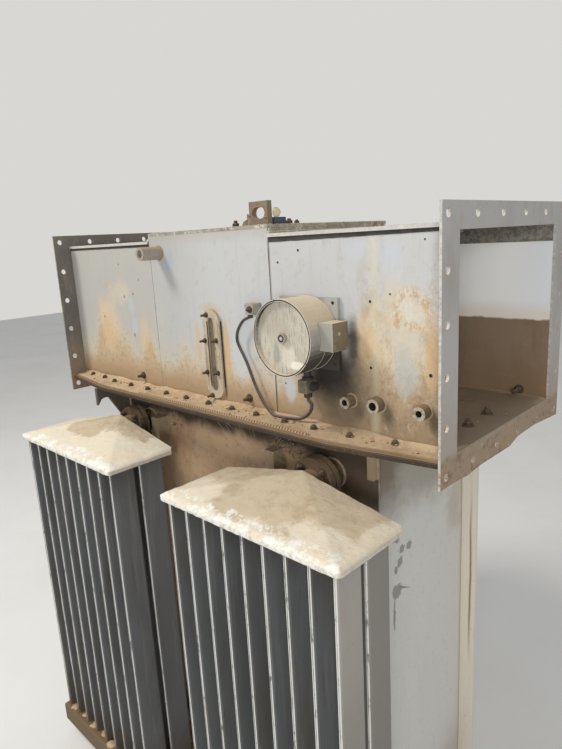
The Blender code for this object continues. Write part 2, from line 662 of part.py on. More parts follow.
# threaded sockets and the vent stub
places = zip(("left", "middle", "right"), SOCKET_INSETS, SOCKET_RISES, SOCKET_RADII, SOCKET_BORES)
for place, inset, rise, outer, hollow in places:
    turned("socket_" + place, sleeve(outer, hollow, SOCKET_REACH), 16,
           (HALF_X - inset, WALL_FACE, DECK_TOP + rise), (0, -1, 0), DARK)
turned("vent_stub", sleeve(VENT_RADIUS, VENT_BORE, VENT_REACH), 20,
       (-SEAM_X + VENT_FROM_SEAM, WALL_FACE, RAISED_TOP - VENT_DROP), (0, -1, 0), DARK)

# split clamp standing on the raised roof, both halves flush at the right
clamp_x = SEAM_X - CLAMP_FROM_SEAM
clamp_right = clamp_x + CLAMP_UPPER_WIDTH / 2
clamp_y0 = BOX_FRONT_Y + CLAMP_SET_BACK - CLAMP_DEPTH / 2
clamp_y1 = clamp_y0 + CLAMP_DEPTH
clamp_low = RAISED_TOP + FIT
split_z = clamp_low + CLAMP_LOWER_HEIGHT
upper_low = split_z + FIT
oval = [(clamp_x + b, split_z + a) for a, b in slot(CLAMP_OPENING, CLAMP_OPENING_LONG, 9)]
opening = prism("clamp_tool", oval, "y", clamp_y0 - OVERCUT, clamp_y1 + OVERCUT, DARK)
lower = block("clamp_lower", (clamp_right - CLAMP_LOWER_WIDTH, clamp_y0, clamp_low),
              (clamp_right, clamp_y1, split_z), DARK)
boolean(lower, opening)
upper = block("clamp_upper", (clamp_right - CLAMP_UPPER_WIDTH, clamp_y0, upper_low),
              (clamp_right, clamp_y1, upper_low + CLAMP_UPPER_HEIGHT), DARK)
boolean(upper, opening)


def gather(name, place, starts):
    """Parent the pieces whose names start so to one empty, without moving them."""
    empty = bpy.data.objects.new(name, None)
    empty.location = place
    bpy.context.scene.collection.objects.link(empty)
    for obj in list(bpy.data.objects):
        if obj.parent is None and obj.type != "EMPTY" and obj.name.startswith(starts):
            obj.parent = empty
            obj.location -= Vector(place)


for side, x in radiators:
    gather("radiator_" + side, (x, HEADER_BACK, RIM_TOP),
           ("radiator_cap_" + side, "radiator_bank_" + side, "tubes_" + side, "upper_pipe_" + side,
            "lower_pipe_" + side))
gather("gauge", (gauge_x, WALL_FACE, gauge_z), ("gauge_", "terminal_tool"))
gather("tank", (0.0, TANK_FRONT, TANK_CLEAR),
       ("tank_", "corner_bar_", "skid_", "lug_", "stop_bar", "lifting_hook"))
gather("duct_box", (0.0, BOX_FRONT_Y, DECK_TOP), ("",))
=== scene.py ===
"""Looks of an old oil-filled power transformer: worn grey paint, rust, brown dust, bolts and welds."""

import math
import random

import bmesh
import bpy
from mathutils import Matrix, Vector, noise


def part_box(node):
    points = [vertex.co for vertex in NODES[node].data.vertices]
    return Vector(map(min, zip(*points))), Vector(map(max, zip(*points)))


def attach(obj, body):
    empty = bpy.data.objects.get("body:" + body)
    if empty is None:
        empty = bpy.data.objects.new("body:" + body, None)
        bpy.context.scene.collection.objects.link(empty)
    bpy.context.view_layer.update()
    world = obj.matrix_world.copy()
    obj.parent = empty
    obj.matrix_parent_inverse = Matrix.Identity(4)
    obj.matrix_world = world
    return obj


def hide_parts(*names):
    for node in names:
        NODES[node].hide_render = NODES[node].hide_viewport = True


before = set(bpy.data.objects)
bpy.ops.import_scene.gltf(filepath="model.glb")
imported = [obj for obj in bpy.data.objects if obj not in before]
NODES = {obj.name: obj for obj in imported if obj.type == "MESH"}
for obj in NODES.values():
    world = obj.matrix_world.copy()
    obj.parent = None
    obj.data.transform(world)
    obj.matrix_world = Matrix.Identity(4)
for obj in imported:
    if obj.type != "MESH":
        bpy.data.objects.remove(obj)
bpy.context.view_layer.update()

# places on the object, from the frame
WALL_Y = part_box("front_wall_right")[0].y
BACK_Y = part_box("back_wall_right")[1].y
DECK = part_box("deck_plate")[1].z
DECK_LOW, DECK_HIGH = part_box("deck_plate")
HALF_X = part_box("right_duct_flange")[1].x
SEAM_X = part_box("front_wall_right")[0].x
TANK_LOW, TANK_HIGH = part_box("tank_front")
TANK_FRONT = TANK_LOW.y
TANK_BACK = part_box("tank_back")[1].y
TANK_X = TANK_HIGH.x
ROOF_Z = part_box("roof_middle")[1].z

# directions, and the length of one strand of the rope on the ledge
UP = (0, 0, 1)
DOWN = (0, 0, -1)
OUT = (0, -1, 0)
TO_BACK = (0, 1, 0)
TO_RIGHT = (1, 0, 0)
ROPE_PITCH = 0.0085


def lin(red, green, blue):
    """Linear colour of a display colour given in 0 to 255."""
    values = [value / 255 for value in (red, green, blue)]
    return tuple(((v + 0.055) / 1.055) ** 2.4 if v > 0.04 else v / 12.92 for v in values) + (1.0,)


# materials
class Value:
    """A number that varies over a surface, with plain arithmetic."""

    def __init__(self, shade, socket):
        self.shade = shade
        self.socket = socket

    def __add__(self, other):
        return self.shade.math("ADD", self, other)

    def __mul__(self, other):
        return self.shade.math("MULTIPLY", self, other)

    def __sub__(self, other):
        return self.shade.math("SUBTRACT", self, other)

    def __rsub__(self, other):
        return self.shade.math("SUBTRACT", other, self)

    def __abs__(self):
        return self.shade.math("ABSOLUTE", self)


class Shade:
    """One procedural material, laid up coat by coat."""

    def __init__(self, name, color, rough=0.7):
        self.mat = bpy.data.materials.new(name)
        self.mat.use_nodes = True
        self.nodes = self.mat.node_tree.nodes
        self.links = self.mat.node_tree.links
        self.place = self.nodes.new("ShaderNodeTexCoord").outputs["Object"]
        self.x, self.y, self.z = self.split(self.place)
        self.nx, self.ny, self.nz = self.split(self.nodes.new("ShaderNodeNewGeometry").outputs["Normal"])
        self.color = lin(*color)
        self.rough = rough
        self.normal = None

    def feed(self, socket, source):
        """Link a socket to a value, or set it."""
        if isinstance(source, Value):
            source = source.socket
        if isinstance(source, bpy.types.NodeSocket):
            self.links.new(source, socket)
        else:
            socket.default_value = source

    def node(self, kind, *sources, **settings):
        made = self.nodes.new("ShaderNode" + kind)
        for key, value in settings.items():
            setattr(made, key, value)
        for index, source in enumerate(sources):
            self.feed(made.inputs[index], source)
        return made

    def split(self, vector):
        return [Value(self, part) for part in self.node("SeparateXYZ", vector).outputs[:3]]

    def math(self, kind, *sources):
        return Value(self, self.node("Math", *sources, operation=kind).outputs[0])

    def top(self, a, b):
        return self.math("MAXIMUM", a, b)

    def step(self, value, low, high):
        """0 up to low and 1 from high on; with low above high it is the other way round."""
        made = self.node("MapRange", value, low, high, 0.0, 1.0, interpolation_type="SMOOTHSTEP")
        return Value(self, made.outputs[0])

    def noise(self, scale, detail=4.0, rough=0.6, stretch=1.0, seed=0.0):
        """Uneven field; a stretch below 1 draws it out upwards, three numbers set it along x, y, z."""
        stretch = stretch if isinstance(stretch, tuple) else (1, 1, stretch)
        moved = self.nodes.new("ShaderNodeMapping")
        made = self.nodes.new("ShaderNodeTexNoise")
        for socket, source in ((moved.inputs["Location"], (seed, seed * 1.7, seed * 0.6)),
                               (moved.inputs["Scale"], stretch), (moved.inputs[0], self.place),
                               (made.inputs["Vector"], moved.outputs[0]), (made.inputs["Scale"], scale),
                               (made.inputs["Detail"], detail), (made.inputs["Roughness"], rough)):
            self.feed(socket, source)
        return Value(self, made.outputs["Fac"])

    def grit(self, scale, seed, low, high, rough=0.8, stretch=1.0, detail=5):
        """Patches: 1 where the noise has risen from low to high."""
        return self.step(self.noise(scale, detail, rough, stretch, seed), low, high)

    def wander(self, value, scale, amount, seed=0.0, stretch=1.0):
        """A coordinate whose lines wander by up to about half of amount."""
        return value + (self.noise(scale, 5, 0.65, stretch, seed) - 0.5) * amount

    def line(self, value, scale, amount, seed, low, high, stretch=1.0):
        """Step from 0 to 1 across a line that wanders."""
        return self.step(self.wander(value, scale, amount, seed, stretch), low, high)

    def blob(self, centre, size, ragged=0.8, scale=22.0, seed=0.0, edge=(1.15, 0.75)):
        """1 inside an ellipsoid with a ragged edge."""
        out = self.node("VectorMath", self.place, centre, operation="SUBTRACT").outputs[0]
        out = self.node("VectorMath", out, size, operation="DIVIDE").outputs[0]
        far = Value(self, self.node("VectorMath", out, operation="LENGTH").outputs["Value"])
        return self.step(self.wander(far, scale, ragged * 2, seed), *edge)

    def near(self, value, centre, half):
        """1 where value is at centre, falling to 0 at half away."""
        return self.step(abs(value - centre), half, 0.0)

    def spot(self, x, z, wide, tall, ragged=0.7, scale=24.0, seed=0.0, edge=(1.2, 0.6)):
        """Ragged spot on the front wall."""
        return self.blob((x, WALL_Y, z), (wide, 0.1, tall), ragged, scale, seed, edge)

    def mix(self, mask, old, new, first, last, **settings):
        """New value over an old one where the mask is 1; first and last name the sockets to use."""
        made = self.node("Mix", **settings)
        for socket, source in ((0, mask), (first, old), (first + 1, new)):
            self.feed(made.inputs[socket], source)
        return made.outputs[last]

    def coat(self, mask, color):
        """Lay a colour over what is there, where the mask is 1; four numbers are already linear."""
        color = color if len(color) == 4 else lin(*color)
        self.color = self.mix(mask, self.color, color, 6, 2, data_type="RGBA")

    def patches(self, color, amount, scale, seed, low, high, rough=0.8, stretch=1.0, detail=5):
        """Lay a colour on in uneven patches."""
        self.coat(self.grit(scale, seed, low, high, rough, stretch, detail) * amount, color)

    def roughen(self, mask, value):
        self.rough = self.mix(mask, self.rough, value, 2, 0)

    def bump(self, height, distance, strength=1.0):
        made = self.nodes.new("ShaderNodeBump")
        self.feed(made.inputs["Strength"], strength)
        self.feed(made.inputs["Distance"], distance)
        self.feed(made.inputs["Height"], height)
        if self.normal is not None:
            self.feed(made.inputs["Normal"], self.normal)
        self.normal = made.outputs["Normal"]

    def facing_front(self):
        return self.step(self.ny, -0.8, -0.96)

    def dusted(self, color, low=0.25, high=0.75, amount=1.0):
        """Settled dust on faces that look up."""
        cover = self.step(self.wander(self.nz, 18, 0.5, 3), low, high)
        self.coat(cover * amount, color)
        self.roughen(cover, 0.95)

    def done(self, coarse=0.0012):
        """The finished material; with coarse above 0 its surface has a fine grain."""
        if coarse:
            self.bump(self.noise(9, 3, 0.5, seed=8), coarse, 0.6)
            self.bump(self.noise(260, 3, 0.7, seed=9), 0.00025, 0.8)
        bsdf = self.nodes["Principled BSDF"]
        self.feed(bsdf.inputs["Base Color"], self.color)
        self.feed(bsdf.inputs["Roughness"], self.rough)
        if self.normal is not None:
            self.feed(bsdf.inputs["Normal"], self.normal)
        return self.mat


DUST = (176, 152, 120)
DUST_DARK = (140, 114, 84)
RUST = (140, 84, 46)
RUST_DARK = (84, 54, 34)


def wall_paint():
    """Outer and inner faces of the duct box."""
    s = Shade("duct_wall_paint", (188, 188, 186), 0.6)
    s.patches((180, 183, 187), 0.8, 3.2, 1, 0.45, 0.68, 0.6, 0.6, detail=4)
    s.patches((192, 190, 183), 1, 14, 2, 0.5, 0.72, 0.7, 0.16)
    s.patches((169, 168, 163), 0.5, 60, 4, 0.52, 0.75, 0.7, 0.1, detail=4)
    s.patches((170, 166, 157), 0.4, 42, 42, 0.52, 0.68, 0.75)
    s.coat(s.step(s.x, -SEAM_X + 0.002, -SEAM_X - 0.002) * 0.5, (184, 178, 163))
    s.coat(s.step(s.x, 0.06, -0.16) * 0.4, (160, 158, 151))
    outside = s.step(s.y, WALL_Y + 0.004, WALL_Y + 0.001)

    def dab_dirt_and_shade(mask, amount, color):
        s.coat(mask * outside * amount, color)

    def spots_of_dirt_and_shade(*rows):
        """Ragged spots: place, size, raggedness, noise scale, seed, amount, colour and edge of each."""
        for x, z, wide, tall, ragged, scale, seed, amount, color, *edge in rows:
            dab_dirt_and_shade(s.spot(x, z, wide, tall, ragged, scale, seed, edge or (1.2, 0.6)), amount, color)

    # tan stains that climb from the ledge in tongues
    climb = s.near(s.x, -0.51, 0.09) * 0.105
    for centre, half, rise in ((-0.43, 0.1, 0.06), (-0.272, 0.05, 0.075), (-0.117, 0.085, 0.025),
                               (0.33, 0.12, 0.04), (0.485, 0.09, 0.15), (0.63, 0.06, 0.15),
                               (0.06, 0.06, 0.03), (0.17, 0.06, 0.025)):
        climb = climb + s.near(s.x, centre, half) * rise
    tongues = s.wander(s.wander(s.z, 9, 0.12, 5, 0.3), 42, 0.06, 6, 0.3)
    level = tongues - DECK - climb
    dab_dirt_and_shade(s.step(level, 0.165, 0.04), 0.6, (202, 186, 158))
    dab_dirt_and_shade(s.step(level, 0.095, 0.025), 0.8, (181, 155, 121))
    dab_dirt_and_shade(s.step(level, 0.16, 0.05) * s.grit(85, 44, 0.5, 0.62), 0.5, (150, 124, 92))
    dab_dirt_and_shade(s.line(s.z, 20, 0.05, 7, DECK + 0.09, DECK + 0.01), 0.8, (158, 131, 98))
    # grey-brown grime over the lower right
    dab_dirt_and_shade(s.step(s.x, 0.27, 0.4) * s.line(s.z, 12, 0.1, 45, DECK + 0.165, DECK + 0.03), 0.8,
          (142, 126, 102))
    mottled = s.step(s.x, 0.43, 0.5) * s.step(level, 0.26, 0.08)
    dab_dirt_and_shade(mottled * s.grit(24, 56, 0.46, 0.6, 0.8, 0.5), 0.8, (168, 143, 108))
    dab_dirt_and_shade(mottled * s.grit(95, 57, 0.5, 0.6, 0.85, 0.6), 0.55, (132, 108, 78))
    dab_dirt_and_shade(mottled * s.grit(70, 58, 0.56, 0.64, 0.85, 0.4), 0.4, (206, 198, 180))
    # left-hand panel
    spots_of_dirt_and_shade((-0.475, 1.37, 0.06, 0.09, 0.8, 20, 8, 0.5, (212, 184, 146)),
           (-0.4, 1.46, 0.06, 0.035, 0.9, 26, 50, 0.45, (208, 190, 160)),
           (-0.293, 1.35, 0.022, 0.06, 0.7, 26, 9, 0.45, (206, 176, 132)),
           (-0.345, 1.425, 0.016, 0.026, 0.6, 34, 10, 0.5, (178, 186, 194)),
           (-0.335, 1.366, 0.015, 0.03, 0.6, 34, 11, 0.5, (180, 186, 192)))
    for x, z, size in ((-0.342, 1.341, 0.005), (-0.377, 1.451, 0.0045), (-0.329, 1.46, 0.0038),
                       (-0.5, 1.387, 0.004), (-0.389, 1.544, 0.003), (-0.294, 1.5, 0.003)):
        dab_dirt_and_shade(s.spot(x, z, size, size * 1.3, 0.5, 120, x), 0.8, (128, 104, 80))
    # middle panel: rust beside the sight glass and the stud, bare bluish paint
    spots_of_dirt_and_shade((0.062, 1.325, 0.014, 0.09, 0.6, 24, 12, 0.75, (196, 160, 114)),
           (-0.047, 1.33, 0.011, 0.065, 0.6, 24, 13, 0.65, (200, 168, 124)),
           (0.01, 1.432, 0.045, 0.014, 0.7, 30, 14, 0.5, (192, 172, 140)),
           (0.116, 1.33, 0.034, 0.075, 0.5, 16, 15, 0.55, (188, 194, 196)),
           (-0.145, 1.544, 0.024, 0.032, 0.5, 24, 16, 0.45, (152, 162, 182), 1.3, 0.3))
    # right-hand panel: rust patch, bare patches, a run of old lacquer, grime and painted shadows below the
    # gauge
    dab_dirt_and_shade(s.near(s.wander(s.x, 12, 0.016, 17), 0.497, 0.018), 0.4, (210, 203, 172))
    spots_of_dirt_and_shade((0.54, 1.54, 0.026, 0.04, 0.5, 14, 18, 0.45, (188, 194, 201)),
           (0.458, 1.562, 0.03, 0.02, 0.5, 14, 19, 0.4, (188, 194, 201)),
           (0.475, 1.395, 0.024, 0.05, 0.8, 24, 51, 0.55, (206, 176, 130)),
           (0.55, 1.41, 0.075, 0.08, 0.9, 14, 20, 0.5, (206, 190, 160)),
           (0.622, 1.37, 0.016, 0.07, 0.7, 24, 52, 0.6, (196, 164, 122)))
    patch = s.spot(0.578, 1.45, 0.06, 0.045, 0.8, 20, 21)
    heart = s.spot(0.58, 1.448, 0.036, 0.024, 0.8, 24, 22)
    dab_dirt_and_shade(patch, 0.45, (214, 200, 172))
    dab_dirt_and_shade(heart, 0.5, (206, 204, 196))
    speck = s.grit(80, 23, 0.46, 0.6, 0.85, 0.5)
    ring = patch * (1.0 - heart * 0.8)
    dab_dirt_and_shade(speck * ring, 0.75, (184, 144, 94))
    rusty = s.top(ring, s.spot(0.118, 1.238, 0.034, 0.026, 0.9, 40, 24) * 1.0)
    rusty = s.top(rusty, s.spot(-0.44, 1.475, 0.06, 0.036, 0.9, 40, 25) * 0.45)
    rusty = s.top(rusty, s.spot(0.585, 1.27, 0.08, 0.05, 1.0, 22, 26) * 0.65)
    dab_dirt_and_shade(s.grit(170, 27, 0.54, 0.64) * rusty, 0.7, (138, 100, 66))
    spots_of_dirt_and_shade((0.565, 1.335, 0.026, 0.06, 0.8, 22, 28, 0.6, (174, 174, 165)),
           (0.432, 1.323, 0.01, 0.016, 0.5, 40, 29, 0.55, (164, 170, 174)),
           (0.27, 1.262, 0.018, 0.03, 0.4, 34, 30, 0.7, (186, 192, 198)),
           # painted shadows of the gauge and its plate; the widest of them also holds grime
           (0.4, 1.292, 0.092, 0.085, 0.6, 12, 31, 0.9, (80, 69, 53), 1.3, 0.2),
           (0.388, 1.318, 0.07, 0.062, 0.5, 16, 53, 0.95, (27, 23, 18), 1.3, 0.4),
           (0.446, 1.38, 0.018, 0.052, 0.5, 30, 54, 0.9, (62, 58, 52), 1.3, 0.3))
    # painted shadows beside the three sockets
    for x, z in ((0.457, 1.245), (0.526, 1.248), (0.626, 1.252)):
        dab_dirt_and_shade(s.spot(x, z, 0.017, 0.024, 0.5, 40, x * 70, (1.3, 0.2)), 0.7, (84, 73, 57))
    dab_dirt_and_shade(s.near(s.x, SEAM_X, 0.005), 0.7, (106, 86, 64))
    # painted shadow down the right-hand side of the sight frame
    sight_frame_shadow = s.near(s.x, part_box("sight_frame")[1].x + 0.002, 0.006) * s.step(s.z, 1.2, 1.225)
    dab_dirt_and_shade(sight_frame_shadow * s.step(s.z, 1.42, 1.395), 0.8, (84, 62, 42))
    dab_dirt_and_shade(s.line(s.z, 26, 0.01, 32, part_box("front_wall_right")[1].z - 0.008, ROOF_Z), 0.5, (170, 160, 142))
    dab_dirt_and_shade(s.grit(190, 33, 0.66, 0.72, detail=4), 0.55, (120, 106, 88))
    dab_dirt_and_shade(s.line(s.z, 30, 0.02, 34, DECK + 0.018, DECK + 0.002), 0.8, (136, 110, 80))
    # inside: painted near-white above, as the light that falls in at the open end; brown soot up to a tide
    # line
    inner = s.step(s.y, WALL_Y + 0.003, WALL_Y + 0.005) * s.step(s.y, BACK_Y - 0.001, BACK_Y - 0.003)
    line = s.wander(s.wander(s.z, 5, 0.035, 35), 40, 0.006, 36)
    s.coat(inner * 0.95, (252, 251, 248))
    s.coat(inner * s.step(s.x, 0.54, 0.66) * 0.6, (216, 221, 228))
    s.coat(inner * 0.6 * s.step(line, DECK + 0.235, DECK + 0.19), (226, 210, 184))
    tide = inner * s.step(line, DECK + 0.187, DECK + 0.181)
    s.coat(tide, (134, 114, 93))
    s.coat(tide * s.grit(11, 37, 0.45, 0.7, 0.7, 0.4), (126, 104, 80))
    s.coat(tide * 0.5 * s.line(s.z, 10, 0.05, 38, DECK + 0.1, DECK + 0.04), (126, 100, 70))
    s.coat(tide * 0.35 * s.grit(26, 39, 0.6, 0.68, 0.7, (0.6, 1, 2.2)), (150, 132, 112))
    back = s.step(s.y, BACK_Y - 0.002, BACK_Y)
    low = s.line(s.z, 7, 0.3, 40, DECK + 0.16, DECK + 0.02, 0.3)
    s.coat(back * 0.7 * low, (176, 148, 112))
    s.dusted((214, 208, 194), 0.4, 0.8, 0.8)
    s.roughen(s.step(level, 0.14, 0.02), 0.95)
    s.bump(s.noise(4, 2, 0.4, seed=41), 0.003, 0.5)
    s.bump(speck * patch, 0.0005, 0.5)
    return s.done()


def roof_crust():
    """Old roofing paint and hardened sealant, flaking and rough."""
    s = Shade("roof_crust", (160, 152, 136), 0.9)
    s.patches((138, 129, 112), 1, 24, 1, 0.44, 0.62, 0.75)
    s.patches((206, 198, 182), 1, 60, 2, 0.52, 0.62)
    s.patches((226, 220, 206), 0.8, 110, 3, 0.58, 0.66)
    s.patches((92, 76, 56), 0.8, 140, 4, 0.62, 0.69, detail=4)
    front = s.step(s.ny, -0.5, -0.8) * s.step(abs(s.x), SEAM_X - 0.001, SEAM_X + 0.001)
    s.coat(front * 0.7, (206, 203, 196))
    s.dusted((206, 196, 176), 0.3, 0.8, 0.9)
    s.bump(s.noise(34, 5, 0.7, seed=5), 0.004, 0.7)
    s.bump(s.noise(170, 4, 0.8, seed=6), 0.0014, 0.9)
    return s.done(0)


def steel_paint(name, base, worn, dirt, rust=0.4, rough=0.6, dust=DUST, dust_amount=0.9):
    """Painted steel with worn paint, rust specks and dust on what looks up."""
    s = Shade(name, base, rough)
    s.patches(worn, 1, 7, 1, 0.42, 0.7, 0.65, 0.5)
    s.patches(dirt, 0.7, 26, 2, 0.5, 0.72, 0.7, 0.3)
    speck = s.grit(90, 3, 0.62 - 0.1 * rust, 0.7 - 0.1 * rust)
    s.coat(speck * rust, RUST)
    s.patches(RUST_DARK, rust, 170, 4, 0.64, 0.7, detail=4)
    s.dusted(dust, 0.3, 0.8, dust_amount)
    s.bump(speck, 0.0006, 0.5)
    return s.done()


def deck_dirt_and_shade():
    s = Shade("deck_dirt_and_shade", (196, 170, 137), 0.95)
    s.patches((174, 147, 113), 1, 9, 1, 0.42, 0.68, 0.7)
    s.patches((206, 184, 153), 1, 40, 2, 0.55, 0.72, 0.75)
    s.patches((112, 88, 64), 0.8, 150, 3, 0.58, 0.68, detail=4)
    inside = s.step(s.y, WALL_Y + 0.01, WALL_Y + 0.03) * s.step(s.y, BACK_Y - 0.01, BACK_Y - 0.03)
    s.coat(inside * 0.85, (136, 118, 96))
    s.coat(inside * s.grit(14, 4, 0.52, 0.68, 0.6, detail=4) * 0.6, (156, 138, 114))
    s.coat(inside * s.line(s.x, 10, 0.1, 7, 0.6, 0.66) * 0.5, (168, 150, 126))
    edge = s.step(s.nz, 0.5, 0.2)
    s.coat(edge * 0.75, (104, 84, 62))
    # painted shade on faces that look down
    s.coat(s.step(s.nz, -0.4, -0.8) * 0.8, (70, 56, 42))
    s.coat(edge * s.step(s.x, 0.6, 0.66) * 0.8, (150, 128, 102))
    s.bump(s.noise(30, 5, 0.7, seed=5), 0.003, 0.6)
    s.bump(s.noise(220, 4, 0.8, seed=6), 0.0012, 0.8)
    return s.done(0)


def flange_paint(name, base, worn, chips):
    s = Shade(name, base, 0.55)
    s.patches(worn, 1, 8, 1, 0.44, 0.68, 0.6, 0.5)
    s.patches((150, 138, 122), 0.45, 30, 8, 0.5, 0.72, 0.75, 0.5)
    low = s.line(s.z, 14, 0.14, 2, DECK + 0.17, DECK + 0.01)
    s.coat(low * 0.45, (150, 130, 106))
    lip = s.line(s.z, 20, 0.03, 3, DECK + 0.014, DECK - 0.01)
    s.coat(lip * 0.8, (146, 122, 96))
    s.coat(lip * s.grit(50, 7, 0.52, 0.62) * 0.8, (112, 86, 62))
    s.coat(s.grit(85, 4, 0.59, 0.66) * (lip * 0.5 + 0.22), RUST)
    chip = s.grit(46, 5, 0.61, 0.66, 0.78)
    s.coat(chip * chips, (202, 194, 178))
    s.coat(s.step(s.ny, -0.6, -0.9) * s.grit(90, 6, 0.42, 0.56, detail=4) * chips, (222, 216, 204))
    s.dusted((222, 208, 182), 0.4, 0.8, 0.8)
    s.bump(chip, 0.0008, 0.7)
    return s.done()


def tank_paint():
    s = Shade("tank_paint", (204, 202, 196), 0.55)
    s.patches((194, 192, 186), 0.8, 4, 1, 0.44, 0.68, 0.6, 0.4, detail=4)
    s.patches((206, 198, 182), 0.5, 18, 2, 0.54, 0.76, 0.7, 0.12)
    s.patches((178, 170, 156), 0.4, 55, 12, 0.54, 0.7, 0.75)
    # painted shade: darker towards the top, under the ledge, and brown with dirt close under it
    under = s.line(s.wander(s.z, 7, 0.24, 3, 0.6), 36, 0.05, 4, 1.075, 1.175)
    s.coat(s.line(s.z, 9, 0.2, 13, 0.92, 1.05) * 0.75, (146, 137, 122))
    s.coat(under * 0.8, (112, 92, 70))
    corner = s.blob((TANK_X, TANK_FRONT + 0.03, 1.1), (0.05, 0.06, 0.075), 0.9, 18, 14, (1.3, 0.3))
    s.coat(corner * 0.75, (104, 82, 60))
    patch = s.blob((TANK_X, 0.235, 0.9), (0.05, 0.045, 0.075), 0.9, 18, 5, (1.3, 0.2))
    s.coat(patch * 0.4, (156, 134, 106))
    s.coat(s.near(s.wander(s.y, 8, 0.012, 6), TANK_BACK - 0.01, 0.012) * 0.45, (140, 120, 94))
    marks = s.blob((TANK_X, -0.034, 0.791), (0.05, 0.022, 0.02), 1.3, 60, 7)
    for y, z, wide, tall in ((-0.032, 0.921, 0.012, 0.008), (0.018, 0.887, 0.011, 0.013),
                             (-0.012, 0.89, 0.013, 0.01), (-0.02, 0.862, 0.012, 0.012),
                             (-0.037, 0.846, 0.007, 0.009), (-0.045, 0.735, 0.005, 0.04)):
        marks = s.top(marks, s.blob((TANK_X, y, z), (0.05, wide, tall), 1.2, 90, y * 50))
    slant = s.z + (s.y + 0.012) * 0.5
    thread = s.near(s.wander(slant, 40, 0.008, 8), 0.793, 0.004) * s.near(s.y, -0.012, 0.046)
    marks = s.top(marks, thread * 1.6)
    s.coat(marks * 0.62, (92, 80, 66))
    s.patches(RUST_DARK, 0.6, 120, 9, 0.66, 0.72, detail=4)
    s.coat(s.line(s.z, 8, 0.2, 10, 0.3, 0.05) * 0.5, (140, 122, 100))
    s.dusted(DUST, 0.4, 0.8)
    s.bump(s.noise(3, 2, 0.5, seed=11), 0.006, 0.5)
    return s.done(0.003)


def bar_paint():
    """Corner bars: pale paint with a thin brown run."""
    s = Shade("corner_bar_paint", (214, 207, 192), 0.6)
    s.patches((196, 186, 166), 0.7, 16, 1, 0.48, 0.72, 0.7, 0.15)
    run = s.near(s.wander(abs(s.x), 7, 0.01, 2), TANK_X + 0.026, 0.005)
    s.coat(run * s.step(s.z, 0.4, 0.6) * s.step(s.z, 1.0, 0.75), (140, 112, 78))
    s.patches(RUST, 0.6, 90, 3, 0.62, 0.7)
    s.dusted(DUST, 0.4, 0.8)
    return s.done()


def tank_front_dirt_and_shade():
    """Front of the tank, thick with brown dust between the radiators, with painted shadow under the ledge."""
    s = Shade("tank_front_dirt_and_shade", (176, 172, 164), 0.9)
    mask = s.line(s.x, 8, 0.25, 1, 0.5, 0.38)
    s.coat(mask * 0.95, (194, 162, 126))
    s.patches((174, 142, 106), mask, 9, 2, 0.46, 0.68, 0.7, 0.5)
    s.patches((128, 104, 78), 0.6, 42, 3, 0.52, 0.7, 0.75)
    # painted shadow just under the ledge
    s.coat(s.line(s.z, 10, 0.06, 4, 1.08, 1.118) * 0.94, (40, 31, 22))
    # painted shade at the top right, near the flange
    s.coat(s.line(s.x, 14, 0.06, 7, 0.3, 0.37) * s.line(s.z, 12, 0.08, 8, 0.97, 1.05) * 0.9, (70, 56, 42))
    s.coat(s.line(s.z, 6, 0.3, 5, 0.9, 0.3) * 0.6, (120, 100, 78))
    s.bump(s.noise(60, 5, 0.8, seed=6), 0.002, 0.6)
    return s.done()


def tube_paint():
    """Radiator tubes: slate sides written darker than their paint as painted shade between the tubes, painted
    shadow under the caps, front edges painted pale in patches as a highlight, oil-black and dusty near the
    floor.
    """
    s = Shade("radiator_tube_paint", (104, 106, 107), 0.5)
    s.patches((90, 91, 90), 1, 6, 1, 0.42, 0.68, 0.6, (3, 1, 0.3), detail=4)
    s.patches((102, 95, 83), 0.6, 4, 2, 0.54, 0.7, 0.6, (5, 1, 0.25), detail=4)
    s.patches((124, 124, 120), 0.55, 34, 10, 0.5, 0.66, 0.75, 0.06)
    s.patches((82, 74, 62), 0.5, 50, 11, 0.56, 0.68, 0.8, 0.1)
    # painted shadow under the caps
    s.coat(s.line(s.z, 14, 0.06, 12, 0.96, 1.05) * 0.45, (66, 60, 52))
    # front edges painted pale in patches: a painted highlight
    front = s.facing_front()
    worn = s.grit(46, 13, 0.34, 0.46, 0.75, 0.4)
    s.coat(front * 0.92 * worn, (226, 225, 220))
    s.coat(front * s.grit(20, 3, 0.52, 0.66, 0.7, 0.3) * 0.5, (196, 184, 160))
    # the right bank's end faces keep the paint's own lighter grey
    ends = s.step(s.x, 0.57, 0.58) * s.step(s.nx, 0.4, 0.8)
    s.coat(ends * 0.9, (158, 153, 146))
    s.coat(ends * s.line(s.z, 6, 0.3, 9, 0.95, 0.55) * 0.7, (118, 114, 108))
    s.coat(ends * s.grit(8, 7, 0.5, 0.7, 0.7, 0.3) * 0.5, (150, 142, 130))
    s.coat(ends * s.step(s.y, CAP_FRONT + 0.09, CAP_FRONT + 0.096) * 0.65, (112, 108, 102))
    low = s.line(s.z, 12, 0.14, 4, 0.3, 0.1, (2, 2, 0.5))
    s.coat(low * 0.75, (74, 62, 48))
    s.coat(s.line(s.z, 30, 0.03, 5, 0.125, 0.105), (104, 86, 64))
    s.patches(RUST_DARK, 0.6, 130, 6, 0.64, 0.71, detail=4)
    s.dusted((120, 98, 70), 0.3, 0.8)
    s.roughen(low, 0.9)
    return s.done(0.002)


